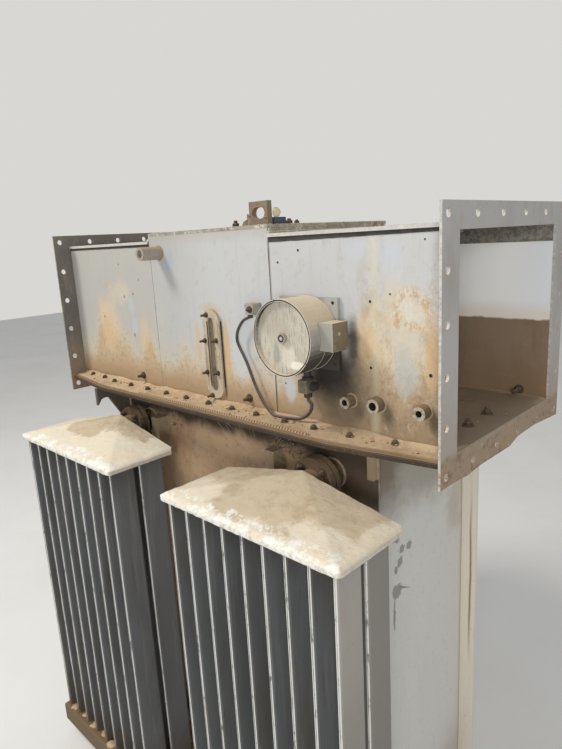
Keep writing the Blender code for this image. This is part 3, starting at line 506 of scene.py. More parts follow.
def cap_dust_and_shade():
    """Radiator caps under caked dust: cream along the edges, brown where it lies thick; faces that look down
    and the rim's right-hand faces painted darker as shade.
    """
    s = Shade("cap_dust_and_shade", (228, 216, 193), 0.95)
    s.patches((228, 212, 184), 0.6, 9, 1, 0.46, 0.66, 0.7)
    low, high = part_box("radiator_cap_left")
    left = (low + high) / 2
    low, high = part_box("radiator_cap_right")
    right = (low + high) / 2
    half = high.x - right.x
    inward = s.wander(s.wander(s.y, 10, 0.09, 2), 40, 0.03, 3)
    thick = s.step(s.x, -0.02, 0.02) * s.step(inward, CAP_FRONT + 0.01, CAP_FRONT + 0.034)
    for x, y, wide, deep in ((right.x - half + 0.045, 0.055, 0.085, 0.06),
                             (right.x + half - 0.055, 0.046, 0.096, 0.043),
                             (right.x + half - 0.01, 0.12, 0.03, 0.08)):
        bare = s.blob((x, CAP_FRONT + y, right.z), (wide, deep, 0.3), 0.8, 18, x * 9, (1.2, 0.8))
        thick = thick * (1.0 - bare * 0.85)
    for x, y, wide, deep in ((left.x + 0.06, 0.185, 0.11, 0.055), (left.x - 0.045, 0.12, 0.08, 0.05)):
        heap = s.blob((x, CAP_FRONT + y, left.z), (wide, deep, 0.3), 0.8, 18, x * 9, (1.2, 0.9))
        thick = s.top(thick, heap)
    s.coat(thick * 0.9, (198, 180, 150))
    s.coat(thick * s.grit(14, 7, 0.46, 0.66, 0.7) * 0.7, (176, 155, 124))
    s.coat(thick * s.grit(55, 13, 0.54, 0.64) * 0.5, (206, 190, 162))
    chalk = s.line(s.wander(s.y, 14, 0.06, 4), 90, 0.03, 5, CAP_FRONT + 0.036, CAP_FRONT + 0.024)
    s.coat(chalk * s.grit(30, 6, 0.46, 0.54) * 0.8, (243, 241, 234))
    s.patches((182, 160, 128), 0.35, 60, 8, 0.56, 0.68)
    s.patches((138, 114, 86), 0.6, 150, 9, 0.66, 0.72, detail=4)
    rim = s.step(s.nz, 0.75, 0.35)
    s.coat(rim * 0.85, (220, 219, 212))
    s.coat(rim * s.grit(70, 10, 0.48, 0.62) * 0.7, (176, 166, 148))
    # painted shade on the rim's right-hand faces and on faces that look down
    s.coat(rim * s.step(s.nx, 0.4, 0.8) * 0.5, (178, 160, 134))
    s.coat(s.step(s.nz, -0.3, -0.8) * 0.9, (96, 90, 82))
    s.bump(s.noise(34, 5, 0.7, seed=11), 0.0025, 0.6)
    s.bump(s.noise(190, 4, 0.8, seed=12), 0.0012, 0.9)
    s.bump(thick, 0.0015, 0.5)
    return s.done(0)


def dial_face():
    """Dirty glass over a pale dial."""
    s = Shade("dial_face", (190, 183, 167), 0.6)
    x, z = DIAL_AT
    s.patches((176, 168, 151), 0.8, 26, 1, 0.44, 0.64, 0.75, 0.6)
    s.patches((142, 133, 117), 0.8, 120, 2, 0.5, 0.62, 0.8, (1.6, 1, 0.2))
    s.coat(s.blob((x - 0.03, -0.21, z + 0.03), (0.06, 0.05, 0.04), 0.5, 24, 8, (1.3, 0.2)) * 0.6,
           (166, 157, 141))
    s.coat(s.blob((x - 0.022, -0.21, z - 0.032), (0.009, 0.05, 0.024), 0.5, 60, 3) * 0.75, (146, 147, 140))
    s.coat(s.blob((x + 0.012, -0.21, z - 0.036), (0.02, 0.05, 0.026), 0.6, 50, 4) * 0.55, (216, 208, 190))
    s.coat(s.blob((x + 0.034, -0.21, z - 0.054), (0.02, 0.05, 0.009), 0.5, 60, 5) * 0.8, (232, 225, 208))
    s.patches((128, 116, 98), 0.6, 170, 6, 0.62, 0.69, detail=4)
    s.bump(s.noise(120, 4, 0.8, seed=7), 0.0006, 0.6)
    return s.done(0)


def gauge_paint(name, base, worn, face, dust):
    s = Shade(name, base, 0.55)
    s.patches(worn, 1, 20, 1, 0.46, 0.66, 0.7)
    s.patches((192, 180, 156), 0.5, 60, 2, 0.56, 0.66)
    s.dusted(dust, 0.05, 0.6)
    # painted shade on faces that look down
    s.coat(s.step(s.nz, 0.05, -0.6) * 0.9, (44, 40, 35))
    s.coat(s.facing_front() * 0.6, face)
    s.patches((110, 92, 70), 0.7, 150, 3, 0.64, 0.7, detail=4)
    s.bump(s.noise(60, 4, 0.7, seed=4), 0.0008, 0.6)
    return s.done()


def plate_paint():
    """Plate behind the gauge: pale at the top, painted black below as the gauge's shadow."""
    s = Shade("gauge_plate_paint", (166, 164, 158), 0.6)
    s.patches((140, 134, 124), 0.7, 40, 1, 0.46, 0.66, 0.75)
    # painted shadow of the gauge over the lower plate
    s.coat(s.line(s.z, 22, 0.03, 2, DIAL_AT[1] + 0.042, DIAL_AT[1] - 0.008) * 0.95, (36, 31, 26))
    s.patches(RUST_DARK, 0.6, 150, 3, 0.62, 0.7, detail=4)
    return s.done()


def plain(name, base, other, rough=0.6, dust=0.5):
    s = Shade(name, base, rough)
    s.patches(other, 1, 30, 1, 0.42, 0.66, 0.7)
    s.coat(s.grit(140, 2, 0.56, 0.68, detail=4) * 0.6, tuple(c * 0.6 for c in lin(*base)[:3]) + (1.0,))
    s.dusted(DUST, 0.2, 0.8, dust)
    s.bump(s.noise(160, 4, 0.7, seed=3), 0.0008, 0.8)
    return s.done(0)


def rope_paint():
    """Dusty rope along the ledge, with painted shade between its strands."""
    s = Shade("rope_paint", (168, 143, 110), 0.95)
    turns = abs(s.math("SINE", s.wander(s.x, 60, 0.0015, 1) * (math.pi / ROPE_PITCH)))
    # painted shade between the strands
    s.coat(s.step(turns, 0.75, 0.3) * 0.9, (58, 45, 33))
    s.patches((140, 115, 84), 0.5, 90, 2, 0.52, 0.64)
    return s.done(0)


def socket_paint():
    """Wall sockets: pale worn mouth, dirty body, painted shade on the right-hand sides and in the black bore.
    """
    s = Shade("socket_paint", (136, 120, 98), 0.8)
    s.patches((112, 97, 76), 1, 70, 1, 0.48, 0.62)
    # painted shade on the right-hand sides
    s.coat(s.step(s.nx, 0.2, 0.8) * 0.7, (88, 74, 57))
    s.dusted(DUST_DARK, 0.3, 0.8, 0.7)
    mouth = s.facing_front() * s.step(s.y, WALL_Y - 0.018, WALL_Y - 0.02)
    s.coat(mouth * 0.9, (172, 160, 140))
    s.coat(mouth * s.grit(110, 2, 0.46, 0.6), (128, 113, 92))
    # bores painted black as the shade inside them
    for side in ("left", "middle", "right"):
        low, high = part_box("socket_" + side)
        bore = (high.x - low.x) * 0.33
        hole = s.blob((low + high) / 2, (bore, 0.03, bore), 0.0, 22, 0, (1.05, 1.0))
        s.coat(hole * s.step(s.ny, -0.7, -0.4), (38, 32, 27))
    return s.done(0.002)


gauge_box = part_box("gauge_case")
DIAL_AT = ((gauge_box[0].x + gauge_box[1].x) / 2, (gauge_box[0].z + gauge_box[1].z) / 2)
CAP_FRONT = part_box("radiator_cap_right")[0].y
WALL = wall_paint()
ROOF = roof_crust()
DECK_DIRT_AND_SHADE = deck_dirt_and_shade()
FLANGE_RIGHT = flange_paint("flange_grey_paint", (170, 167, 163), (158, 154, 149), 0.45)
# the same flange paint written darker: painted shade on the left flange's face and on the angles inside under
# the roof
FLANGE_SHADED = flange_paint("flange_paint_painted_shade", (100, 97, 91), (112, 106, 97), 0.2)
TANK = tank_paint()
BAR = bar_paint()
TANK_FRONT_DIRT_AND_SHADE = tank_front_dirt_and_shade()
TUBES = tube_paint()
CAP = cap_dust_and_shade()
DIAL = dial_face()
GAUGE = gauge_paint("gauge_paint", (158, 154, 146), (146, 143, 137), (206, 199, 184), (212, 194, 166))
TERMINAL = gauge_paint("terminal_paint", (118, 106, 88), (104, 93, 76), (176, 176, 168), (206, 188, 160))
DARK_STEEL = steel_paint("dark_steel", (86, 78, 68), (70, 62, 54), (110, 92, 70), 0.7, 0.7)
DUSTY_STEEL = steel_paint("dusty_steel", (160, 140, 112), (140, 120, 94), (176, 158, 130), 0.5, 0.9)
SIGHT_PAINT = steel_paint("sight_paint", (188, 174, 152), (148, 130, 104), (206, 198, 184), 0.6, 0.7)
SOCKET = socket_paint()
ROPE = rope_paint()
BOLTS = steel_paint("old_bolts", (70, 57, 44), (52, 42, 32), (94, 78, 58), 0.3, 0.75, DUST_DARK, 0.5)
UNDER = steel_paint("shaded_steel", (56, 46, 35), (44, 36, 28), (78, 62, 46), 0.5, 0.85, DUST_DARK)
CLAMP = steel_paint("clamp_steel", (128, 114, 94), (104, 90, 72), (150, 134, 110), 0.8, 0.85)
GREY_STEEL = steel_paint("grey_steel", (158, 152, 142), (140, 134, 124), (168, 154, 132), 0.5, 0.6)
PIPES = steel_paint("pipe_paint", (94, 78, 60), (72, 58, 43), (118, 98, 74), 0.6, 0.95, DUST_DARK)
FITTING = plain("fitting_paint", (112, 104, 82), (84, 76, 58), 0.7, 0.6)
SHEATH = plain("black_sheath", (58, 56, 53), (78, 74, 68), 0.55, 0.4)
GLASS = plain("stained_glass", (112, 98, 78), (84, 72, 56), 0.25, 0.0)
DARK_HOLE = plain("dark_hole", (34, 30, 27), (46, 40, 34), 0.9, 0.0)
PACKING = plain("dark_packing", (66, 62, 57), (48, 44, 40), 0.9, 0.0)
PALE_WING = plain("pale_yellow_paint", (222, 212, 172), (206, 192, 154), 0.6)
BLUE_BLOCK = plain("dark_blue_paint", (60, 68, 84), (76, 82, 94), 0.5, 0.2)
PALE_FLAKE = plain("pale_flakes", (226, 220, 208), (200, 192, 176), 0.9, 0.2)
WEB = plain("cobweb", (162, 150, 130), (140, 126, 104), 0.9, 0.0)

COATS = {
    "deck_plate": DECK_DIRT_AND_SHADE, "tank_flange": UNDER, "right_duct_flange": FLANGE_RIGHT,
    "left_duct_flange": FLANGE_SHADED, "top_angle_": FLANGE_SHADED, "tank_front": TANK_FRONT_DIRT_AND_SHADE,
    "tank_back": TANK, "tank_left": TANK, "tank_right": TANK, "tank_bottom": DARK_STEEL,
    "corner_bar_": BAR, "skid_": DARK_STEEL, "lug_": DUSTY_STEEL, "stop_bar": DUSTY_STEEL,
    "lifting_hook": DARK_STEEL, "radiator_bank_": TUBES, "radiator_cap_": CAP, "upper_pipe_": PIPES,
    "lower_pipe_": DARK_STEEL, "gauge_plate": plate_paint(), "gauge_case": GAUGE, "gauge_dial": DIAL,
    "gauge_knob": GREY_STEEL, "gauge_terminal_box": TERMINAL, "capillary_bracket": GREY_STEEL,
    "capillary_line": SHEATH, "sensor_fitting": FITTING, "sight_frame": SIGHT_PAINT, "sight_pane": GLASS,
    "vent_stub": GREY_STEEL, "clamp_": CLAMP, "front_wall_": WALL, "back_wall_": WALL, "roof_": ROOF,
    "riser_": ROOF, "socket_": SOCKET,
}
ROUND = ("upper_pipe_", "lower_pipe_", "gauge_case", "gauge_dial", "capillary_line", "socket_", "vent_stub")


def soften(mesh, degrees):
    """Smooth shading, but for edges sharper than that."""
    mesh.shade_smooth()
    mesh.set_sharp_from_angle(angle=math.radians(degrees))


for node_name, node in NODES.items():
    node.data.materials.clear()
    node.data.materials.append(next(coat for start, coat in COATS.items() if node_name.startswith(start)))
    if node_name.startswith(ROUND):
        soften(node.data, 40)


# shapes
def link(name, data):
    made = bpy.data.objects.new(name, data)
    bpy.context.scene.collection.objects.link(made)
    return made


def piece(name, bm, mat, smooth=0):
    """Put a mesh in the scene as a piece of the object; smooth is the angle of its sharp edges."""
    bmesh.ops.recalc_face_normals(bm, faces=bm.faces)
    mesh = bpy.data.meshes.new(name)
    bm.to_mesh(mesh)
    bm.free()
    mesh.materials.append(mat)
    if smooth:
        soften(mesh, smooth)
    made = link(name, mesh)
    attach(made, "root")
    return made


def uneven(x, y, z):
    """Smooth unevenness, about -1 to 1."""
    return noise.noise(Vector((x, y, z)))


def aim(place, along, spin=0.0):
    """Matrix that takes +Z at the origin to along at place."""
    turn = Vector(UP).rotation_difference(Vector(along)).to_matrix().to_4x4()
    return Matrix.Translation(place) @ turn @ Matrix.Rotation(spin, 4, "Z")


def around(count, more=0):
    """Cosine and sine of even steps round a circle."""
    turns = [2 * math.pi * i / count for i in range(count + more)]
    return [(math.cos(turn), math.sin(turn)) for turn in turns]


def skin(bm, rings, closed=False):
    """Faces along a row of rings, with flat ends or closed into itself."""
    pairs = list(zip(rings, rings[1:]))
    if closed:
        pairs.append((rings[-1], rings[0]))
    for low, high in pairs:
        for k in range(len(low)):
            j = (k + 1) % len(low)
            bm.faces.new((low[k], low[j], high[j], high[k]))
    if not closed:
        bm.faces.new(list(reversed(rings[0])))
        bm.faces.new(rings[-1])


def lathe(bm, profile, sides, where, closed=False):
    """Turned shape from (radius, along) points; both ends are capped unless the profile is closed."""
    skin(bm, [[bm.verts.new(where @ Vector((radius * c, radius * s, along))) for c, s in around(sides)]
              for radius, along in profile], closed)


# radius of the hexagon, length of the threaded end and radius of the washer of each kind of bolt
DECK_BOLT = (0.0066, 0.0024, 0.0084)
BACK_BOLT = (0.0072, 0.0035, 0.0095)
FLANGE_BOLT = (0.008, 0.005, 0.011)
FLOOR_BOLT = (0.0085, 0.006, 0.0125)
WALL_STUD = (0.0076, 0.012, 0.0105)
INNER_STUD = (0.008, 0.026, 0.0115)
SIGHT_NUT = (0.0054, 0.011, 0.0068)
PIPE_BOLT = (0.0078, 0.005, 0.0105)
PIPE_NUT = (0.0078, 0.008, 0.0105)
BRACKET_BOLT = (0.0056, 0.004, 0.008)
CLAMP_BOLT = (0.0046, 0.0, 0.0052)


def hex_bolt(bm, place, along, kind, spin):
    """Washer, chamfered hexagon and the threaded end that stands out of it."""
    size, stud, washer = kind
    sink = 0.0006
    where = aim(Vector(place) - Vector(along) * sink, along, spin)
    base = 0.0018 + sink
    head = base + size * 0.85
    lathe(bm, [(washer, 0.0), (washer, base - 0.0004), (washer - 0.0005, base)], 20, where)
    lathe(bm, [(size * 0.93, base), (size, base + 0.0008), (size, head - 0.0012), (size * 0.86, head)], 6,
          where)
    if stud > 0:
        radius = size * 0.56
        thread = [(radius, head - 0.001)]
        steps = max(2, int(stud / 0.0014))
        for i in range(steps):
            up = head + stud * i / steps
            thread += [(radius, up), (radius * 0.88, up + stud / steps * 0.5)]
        thread += [(radius, head + stud - 0.001), (radius * 0.75, head + stud)]
        lathe(bm, thread, 12, where)


def tube_along(bm, points, radius, sides, wobble=None):
    """Tube with closed ends through the points; wobble gives the radius factor at each point."""
    rings = []
    for i, point in enumerate(points):
        ahead = (points[min(i + 1, len(points) - 1)] - points[max(i - 1, 0)]).normalized()
        side = ahead.cross(Vector((0.123, 0.456, 0.881))).normalized()
        lift = ahead.cross(side).normalized()
        size = radius * (wobble(i) if wobble else 1.0)
        rings.append([bm.verts.new(point + (side * c + lift * s) * size) for c, s in around(sides)])
    skin(bm, rings)


def line_points(start, end, pitch):
    start, end = Vector(start), Vector(end)
    count = max(2, int((end - start).length / pitch) + 1)
    return [start.lerp(end, i / (count - 1)) for i in range(count)]


def weld(bm, points, radius, seed=0.0):
    """Weld bead: overlapping ripples with an uneven height."""
    tube_along(bm, points, radius, 7,
               lambda i: 0.85 + 0.22 * abs(math.sin(i * 1.35)) + 0.25 * uneven(i * 0.21, seed, 0.0))


def upright_weld(bm, x, y, low, high, radius, seed=0.0, pitch=0.003):
    weld(bm, line_points((x, y, low), (x, y, high), pitch), radius, seed)


def ring_weld(bm, centre, y, ring, count, radius, seed):
    """Weld round a pipe that runs along Y."""
    where = aim((centre.x, y, centre.z), OUT)
    weld(bm, [where @ Vector((ring * c, ring * s, 0)) for c, s in around(count, 1)], radius, seed)


def block(name, low, high, edge, mat):
    """Piece that is one block with its edges broken."""
    bm = bmesh.new()
    bmesh.ops.create_cube(bm, size=1.0)
    bmesh.ops.scale(bm, vec=Vector(high) - Vector(low), verts=bm.verts)
    bmesh.ops.translate(bm, vec=(Vector(high) + Vector(low)) / 2, verts=bm.verts)
    bmesh.ops.bevel(bm, geom=bm.edges, offset=edge, segments=2, affect="EDGES", profile=0.6)
    piece(name, bm, mat, 40)


def append(bm, own):
    mesh = bpy.data.meshes.new("part")
    own.to_mesh(mesh)
    own.free()
    bm.from_mesh(mesh)
    bpy.data.meshes.remove(mesh)


def lump(bm, centre, size, seed, squash=0.6, level=2):
    """Small uneven clod."""
    own = bmesh.new()
    bmesh.ops.create_icosphere(own, subdivisions=level, radius=1.0)
    for vert in own.verts:
        push = 1.0 + 0.45 * noise.noise(vert.co * 1.6 + Vector((seed, seed * 2.3, 0)))
        x, y, z = vert.co * push
        vert.co = Vector((x, y, z * squash)) * size + Vector(centre)
    append(bm, own)


# places along the ledge
def ledge_front(x):
    """Y of the deck plate's front edge at x; the ledge is full in the middle and narrower at its ends."""
    straight = HALF_X - 0.235
    full = 0.072
    ends = 0.036
    share = max(0.0, (abs(x) - straight) / (DECK_HIGH.x - straight))
    return WALL_Y - full + (full - ends) * share


def mirrored(y):
    """The same place on the back of the box."""
    return WALL_Y + BACK_Y - y


# bolts of the deck and the tank flange
random.seed(4)
bm = bmesh.new()
flange_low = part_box("tank_flange")[0].z
for x in (-0.592, -0.512, -0.435, -0.343, -0.257, -0.168, -0.08, 0.011, 0.1, 0.185, 0.275, 0.36, 0.452, 0.55):
    y = min(ledge_front(x) + 0.041, WALL_Y - 0.014)
    spin = random.uniform(0, 1)
    lean = Vector((random.uniform(-0.1, 0.1), random.uniform(-0.1, 0.1), 1)).normalized()
    hex_bolt(bm, (x, y, DECK + 0.0006), lean, DECK_BOLT, spin)
    hex_bolt(bm, (x, mirrored(y), DECK + 0.0006), UP, BACK_BOLT, spin + 0.4)
    for under in (y, mirrored(y)):
        hex_bolt(bm, (x, under, flange_low), DOWN, FLANGE_BOLT, spin)
for x, y in ((0.605, 0.13), (0.61, 0.033), (-0.6, 0.12), (-0.612, 0.045)):
    hex_bolt(bm, (x, y, DECK + 0.001), UP, FLOOR_BOLT, x)
piece("deck_bolts", bm, BOLTS)

# studs that stand out of the front wall and one inside on the back wall
bm = bmesh.new()
for x, z in ((-0.3176, DECK + 0.029), (0.134, DECK + 0.027)):
    hex_bolt(bm, (x, WALL_Y, z), OUT, WALL_STUD, 0.3)
hex_bolt(bm, (0.6, BACK_Y - 0.0062, DECK + 0.015), OUT, INNER_STUD, 0.2)
piece("wall_studs", bm, BOLTS)

# discs painted dark as the shade at the bottoms of the sockets and the vent, and the welds round them
bottoms = bmesh.new()
welds = bmesh.new()
for name in ("socket_left", "socket_middle", "socket_right", "vent_stub"):
    low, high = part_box(name)
    centre = (low + high) / 2
    wide = high.x - low.x
    lathe(bottoms, [(wide * 0.36, 0.0), (wide * 0.36, 0.0008)], 20,
          aim((centre.x, WALL_Y + 0.0002, centre.z), OUT))
    ring_weld(welds, centre, WALL_Y - 0.0005, wide / 2 + 0.0008, 40, 0.0024, centre.x)
piece("bore_bottoms", bottoms, DARK_HOLE)

# empty bolt holes in the wall: a dark disc painted as the shade in the mouth, with a worn lip; the rest were
# filled and painted over
bm = bmesh.new()
rims = bmesh.new()
for x, z, size in ((0.311, 1.565, 0.0028), (0.251, 1.541, 0.0026), (0.489, 1.465, 0.003),
                   (0.534, 1.48, 0.002), (0.488, 1.336, 0.003), (0.618, 1.336, 0.0036), (0.256, 1.275, 0.002),
                   (0.606, 1.576, 0.0018)):
    where = aim((x, WALL_Y + 0.0004, z), OUT)
    lathe(bm, [(size, 0.0), (size, 0.0006)], 14, where)
    lathe(rims, [(size, 0.0), (size + 0.0009, 0.0), (size + 0.0008, 0.0008), (size + 0.0001, 0.001)], 14,
          where, True)
for x, z in ((0.597, 1.398), (0.616, 1.466), (0.577, 1.363), (0.602, 1.352)):
    where = aim((x, WALL_Y + 0.0004, z), OUT)
    lathe(rims, [(0.0028, 0.0), (0.0042, 0.0), (0.004, 0.0008), (0.0029, 0.001)], 14, where, True)
piece("wall_holes", bm, DARK_HOLE)
piece("wall_hole_rims", rims, WALL, 50)

# sight glass: raised lips beside the slot, studs and nuts, and dark lines painted as shade in the left slot
# and along both edges where the frame meets the wall
bm = bmesh.new()
lips = bmesh.new()
shade_lines = bmesh.new()
low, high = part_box("sight_frame")
middle = (low.x + high.x) / 2
for off, z in ((-0.013, 1.417), (-0.036, 1.352), (0.019, 1.355), (-0.033, 1.271), (0.016, 1.273),
               (-0.012, 1.212)):
    x = min(max(middle + off, low.x + 0.006), high.x - 0.006)
    hex_bolt(bm, (x, low.y, z), OUT, SIGHT_NUT, z * 9)
for side in (-1, 1):
    for into, off, y, radius, seed in (
            (shade_lines if side < 0 else lips, 0.0128, low.y - 0.0002, 0.0014, side * 3 + 1.152),
            (lips, 0.0255, low.y - 0.0002, 0.001, side * 3 + 2.295),
            (shade_lines, high.x - middle + 0.0006, WALL_Y - 0.0012, 0.0014, side * 7)):
        upright_weld(into, middle + side * off, y, low.z + 0.03, high.z - 0.03, radius, seed, 0.006)
piece("sight_nuts", bm, BOLTS)
piece("sight_lips", lips, SIGHT_PAINT, 60)
piece("sight_painted_shade", shade_lines, DARK_HOLE, 60)

# pipe flanges: through bolts with a nut on each side, and the welds of both pipe ends
bm = bmesh.new()
for name in ("upper_pipe_left", "lower_pipe_left", "upper_pipe_right", "lower_pipe_right"):
    low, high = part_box(name)
    centre = (low + high) / 2
    for i in range(4):
        turn = math.pi / 4 + i * math.pi / 2
        x, z = centre.x + 0.0435 * math.cos(turn), centre.z + 0.0435 * math.sin(turn)
        hex_bolt(bm, (x, low.y + 0.03, z), OUT, PIPE_BOLT, turn)
        hex_bolt(bm, (x, low.y + 0.059, z), TO_BACK, PIPE_NUT, turn)
    ring_weld(welds, centre, high.y - 0.001, 0.033, 56, 0.0035, centre.x)
    ring_weld(welds, centre, low.y + 0.002, 0.033, 56, 0.003, centre.x + 5)
piece("pipe_bolts", bm, BOLTS)

# welds of the tank's fittings and corners, and the seams of the wall
for name in ("lug_left", "lug_middle", "stop_bar"):
    low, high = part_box(name)
    for x in (low.x - 0.001, high.x + 0.001):
        upright_weld(welds, x, TANK_FRONT - 0.001, low.z, high.z, 0.0032, x)
low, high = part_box("lifting_hook")
upright_weld(welds, high.x + 0.001, TANK_FRONT - 0.001, low.z, high.z, 0.0035)
piece("fitting_welds", welds, DUSTY_STEEL, 60)
bm = bmesh.new()
for sign in (-1, 1):
    corner = sign * TANK_X
    upright_weld(bm, corner, TANK_FRONT + 0.001, TANK_LOW.z, TANK_HIGH.z - 0.002, 0.0028, sign, 0.004)
piece("tank_corner_welds", bm, TANK, 60)
bm = bmesh.new()
wall_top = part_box("front_wall_left")[1].z
for x, radius, seed in ((-SEAM_X - 0.0003, 0.0018, 1), (SEAM_X + 0.0012, 0.002, 2)):
    upright_weld(bm, x, WALL_Y + 0.0014, DECK + 0.002, wall_top, radius, seed, 0.004)
piece("seam_welds", bm, WALL, 60)

# dark gap down both seams, and the packing that shows dark between the walls and the low roofs
bm = bmesh.new()
for x in (-SEAM_X + 0.0016, SEAM_X - 0.0014):
    path = line_points((x, WALL_Y + 0.0007, DECK + 0.002), (x, WALL_Y + 0.0007, wall_top), 0.02)
    tube_along(bm, path, 0.001, 6, lambda i: 1.0 + 0.3 * uneven(i * 0.5, x, 2))
low_roof, high_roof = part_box("roof_right")
packing_top = low_roof.z + 0.0056
for x0, x1, deep0, deep1 in ((SEAM_X + 0.0004, DECK_HIGH.x, 0.0052, 0.0006),
                             (DECK_LOW.x, -SEAM_X - 0.001, 0.0006, 0.001)):
    for wall, out in ((WALL_Y, -1), (BACK_Y, 1)):
        rows = []
        steps = 120
        for i in range(steps + 1):
            share = i / steps
            x = x0 + (x1 - x0) * share
            foot = wall_top - (deep0 + (deep1 - deep0) * share) * (1 + 0.25 * uneven(x * 40, out, 0))
            face = wall + out * 0.0009 * (1 + 0.5 * uneven(x * 60, out, 3))
            rows.append([bm.verts.new((x, y, z)) for y, z in (
                (wall - out * 0.0025, packing_top), (face, packing_top), (face, foot),
                (wall - out * 0.0006, foot))])
        skin(bm, rows)
piece("dark_packing", bm, PACKING)

# hardened sealant where the risers meet the low roofs
bm = bmesh.new()
for x, out in ((SEAM_X + 0.0015, 1), (-SEAM_X - 0.0025, -1)):
    count = int((high_roof.y - low_roof.y - 0.004) / 0.0035)
    path = []
    for i in range(count):
        bend = out * 0.0012 * uneven(i * 0.3, out, 0)
        path.append(Vector((x + bend, low_roof.y + 0.002 + i * 0.0035, high_roof.z + 0.0012)))
    weld(bm, path, 0.0048, x * 3)
piece("riser_sealant", bm, ROOF, 70)


# braided packing squeezed out between the deck plate and the tank flange, and the rope on the ledge
def edge_path(mirror, along, off, shake, z):
    """Points off the edge of the deck plate, in front or on the back."""
    path = []
    for x in along:
        y = ledge_front(x) + off + shake * uneven(x * 30, mirror, 0)
        path.append(Vector((x, mirrored(y) if mirror else y, z)))
    return path


braid = bmesh.new()
rope = bmesh.new()
start = DECK_LOW.x + 0.004
length = DECK_HIGH.x - DECK_LOW.x - 0.008
count = int(length / 0.0014)
braid_x = [start + length * i / count for i in range(count + 1)]
rope_x = [-0.24 + i * 0.0016 for i in range(int(0.62 / 0.0016))]
for mirror in (False, True):
    path = edge_path(mirror, braid_x, -0.0012, 0.0006, DECK_LOW.z - 0.0002)
    tube_along(braid, path, 0.0034, 7,
               lambda i: 0.82 + 0.3 * abs(math.sin(i * 1.05)) + 0.2 * uneven(i * 0.05, 1, 0))
    path = edge_path(mirror, rope_x, 0.0034, 0.0005, DECK + 0.001)
    tube_along(rope, path, 0.0034, 8,
               lambda i: 0.55 + 0.55 * abs(math.sin(rope_x[i] / ROPE_PITCH * math.pi)) ** 0.7)
piece("flange_packing", braid, UNDER, 50)
piece("ledge_rope", rope, ROPE, 60)


# dust and dirt that has a thickness
def sheet_of_dust(name, y_range, nx, ny, depth):
    """Closed uneven layer on the deck plate; y_range(x) gives its edges, depth(x, y, share) its height."""
    bm = bmesh.new()
    top, bottom = [], []
    for i in range(nx + 1):
        x = DECK_LOW.x + 0.001 + (DECK_HIGH.x - DECK_LOW.x - 0.002) * i / nx
        y0, y1 = y_range(x)
        top.append([])
        bottom.append([])
        for j in range(ny + 1):
            y = y0 + (y1 - y0) * j / ny
            up = depth(x, y, j / ny) if 0 < i < nx else 0.0
            top[i].append(bm.verts.new((x, y, DECK + max(up, 0.0002))))
            bottom[i].append(bm.verts.new((x, y, DECK - 0.0004)))
    for i in range(nx):
        for j in range(ny):
            bm.faces.new((top[i][j], top[i + 1][j], top[i + 1][j + 1], top[i][j + 1]))
            bm.faces.new((bottom[i][j], bottom[i][j + 1], bottom[i + 1][j + 1], bottom[i + 1][j]))
        for j in (0, ny):
            bm.faces.new((top[i][j], bottom[i][j], bottom[i + 1][j], top[i + 1][j]))
    for i in (0, nx):
        for j in range(ny):
            bm.faces.new((top[i][j], top[i][j + 1], bottom[i][j + 1], bottom[i][j]))
    piece(name, bm, DECK_DIRT_AND_SHADE, 80)


def ledge_depth(x, y, share):
    """Dust banked against the wall and thinning towards the edge of the ledge."""
    bank = 0.01 * max(0.0, share - 0.55) ** 2 / 0.2
    return 0.0008 + bank * (0.7 + 0.6 * uneven(x * 14, y * 14, 1)) + 0.0009 * uneven(x * 70, y * 70, 2)


def floor_depth(x, y, share):
    edge = 0.004 * (max(0.0, share - 0.85) + max(0.0, 0.15 - share)) / 0.15
    return 0.001 + edge + 0.0009 * uneven(x * 12, y * 12, 4) + 0.0005 * uneven(x * 60, y * 60, 5)


sheet_of_dust("ledge_dust_front", lambda x: (ledge_front(x) + 0.001, WALL_Y - 0.0002), 330, 18, ledge_depth)
sheet_of_dust("ledge_dust_back", lambda x: (BACK_Y + 0.0002, mirrored(ledge_front(x)) - 0.001), 220, 12,
              lambda x, y, share: ledge_depth(x, y, 1 - share))
sheet_of_dust("duct_floor_dust", lambda x: (WALL_Y + 0.0063, BACK_Y - 0.0063), 150, 44, floor_depth)

# crumbs of rust scale and dirt on the ledge, the duct floor and along the roof edges
random.seed(11)
bm = bmesh.new()
for i in range(170):
    x = random.uniform(DECK_LOW.x + 0.03, DECK_HIGH.x - 0.03)
    y = WALL_Y - 0.004 - abs(random.gauss(0, 0.02))
    if y > ledge_front(x) + 0.004:
        size = random.uniform(0.001, 0.003)
        lump(bm, (x, y, DECK + 0.002 + size * 0.3), size, i, 0.7, 1)
for i in range(60):
    size = random.uniform(0.0012, 0.0034)
    x, y = random.uniform(0.3, 0.64), random.uniform(WALL_Y + 0.02, BACK_Y - 0.02)
    lump(bm, (x, y, DECK + 0.0016), size, i * 1.3, 0.7, 1)
piece("dirt_crumbs", bm, DECK_DIRT_AND_SHADE, 60)

bm = bmesh.new()
for i in range(150):
    x = random.uniform(SEAM_X + 0.004, HALF_X - 0.014)
    size = random.uniform(0.0008, 0.002)
    lump(bm, (x, low_roof.y + random.uniform(0.002, 0.006), high_roof.z), size, i * 0.7, 0.5, 1)
for i in range(330):
    x = random.uniform(-SEAM_X + 0.004, SEAM_X - 0.004)
    size = random.uniform(0.0008, 0.0026)
    lump(bm, (x, WALL_Y + random.uniform(0.003, 0.008), ROOF_Z), size, i * 0.9, 0.5, 1)
for i in range(240):
    y = random.uniform(WALL_Y + 0.004, BACK_Y - 0.004)
    size = random.uniform(0.001, 0.0028)
    lump(bm, (SEAM_X - random.uniform(0.003, 0.008), y, ROOF_Z), size, i * 1.1, 0.5, 1)
piece("roof_edge_crust", bm, ROOF, 60)


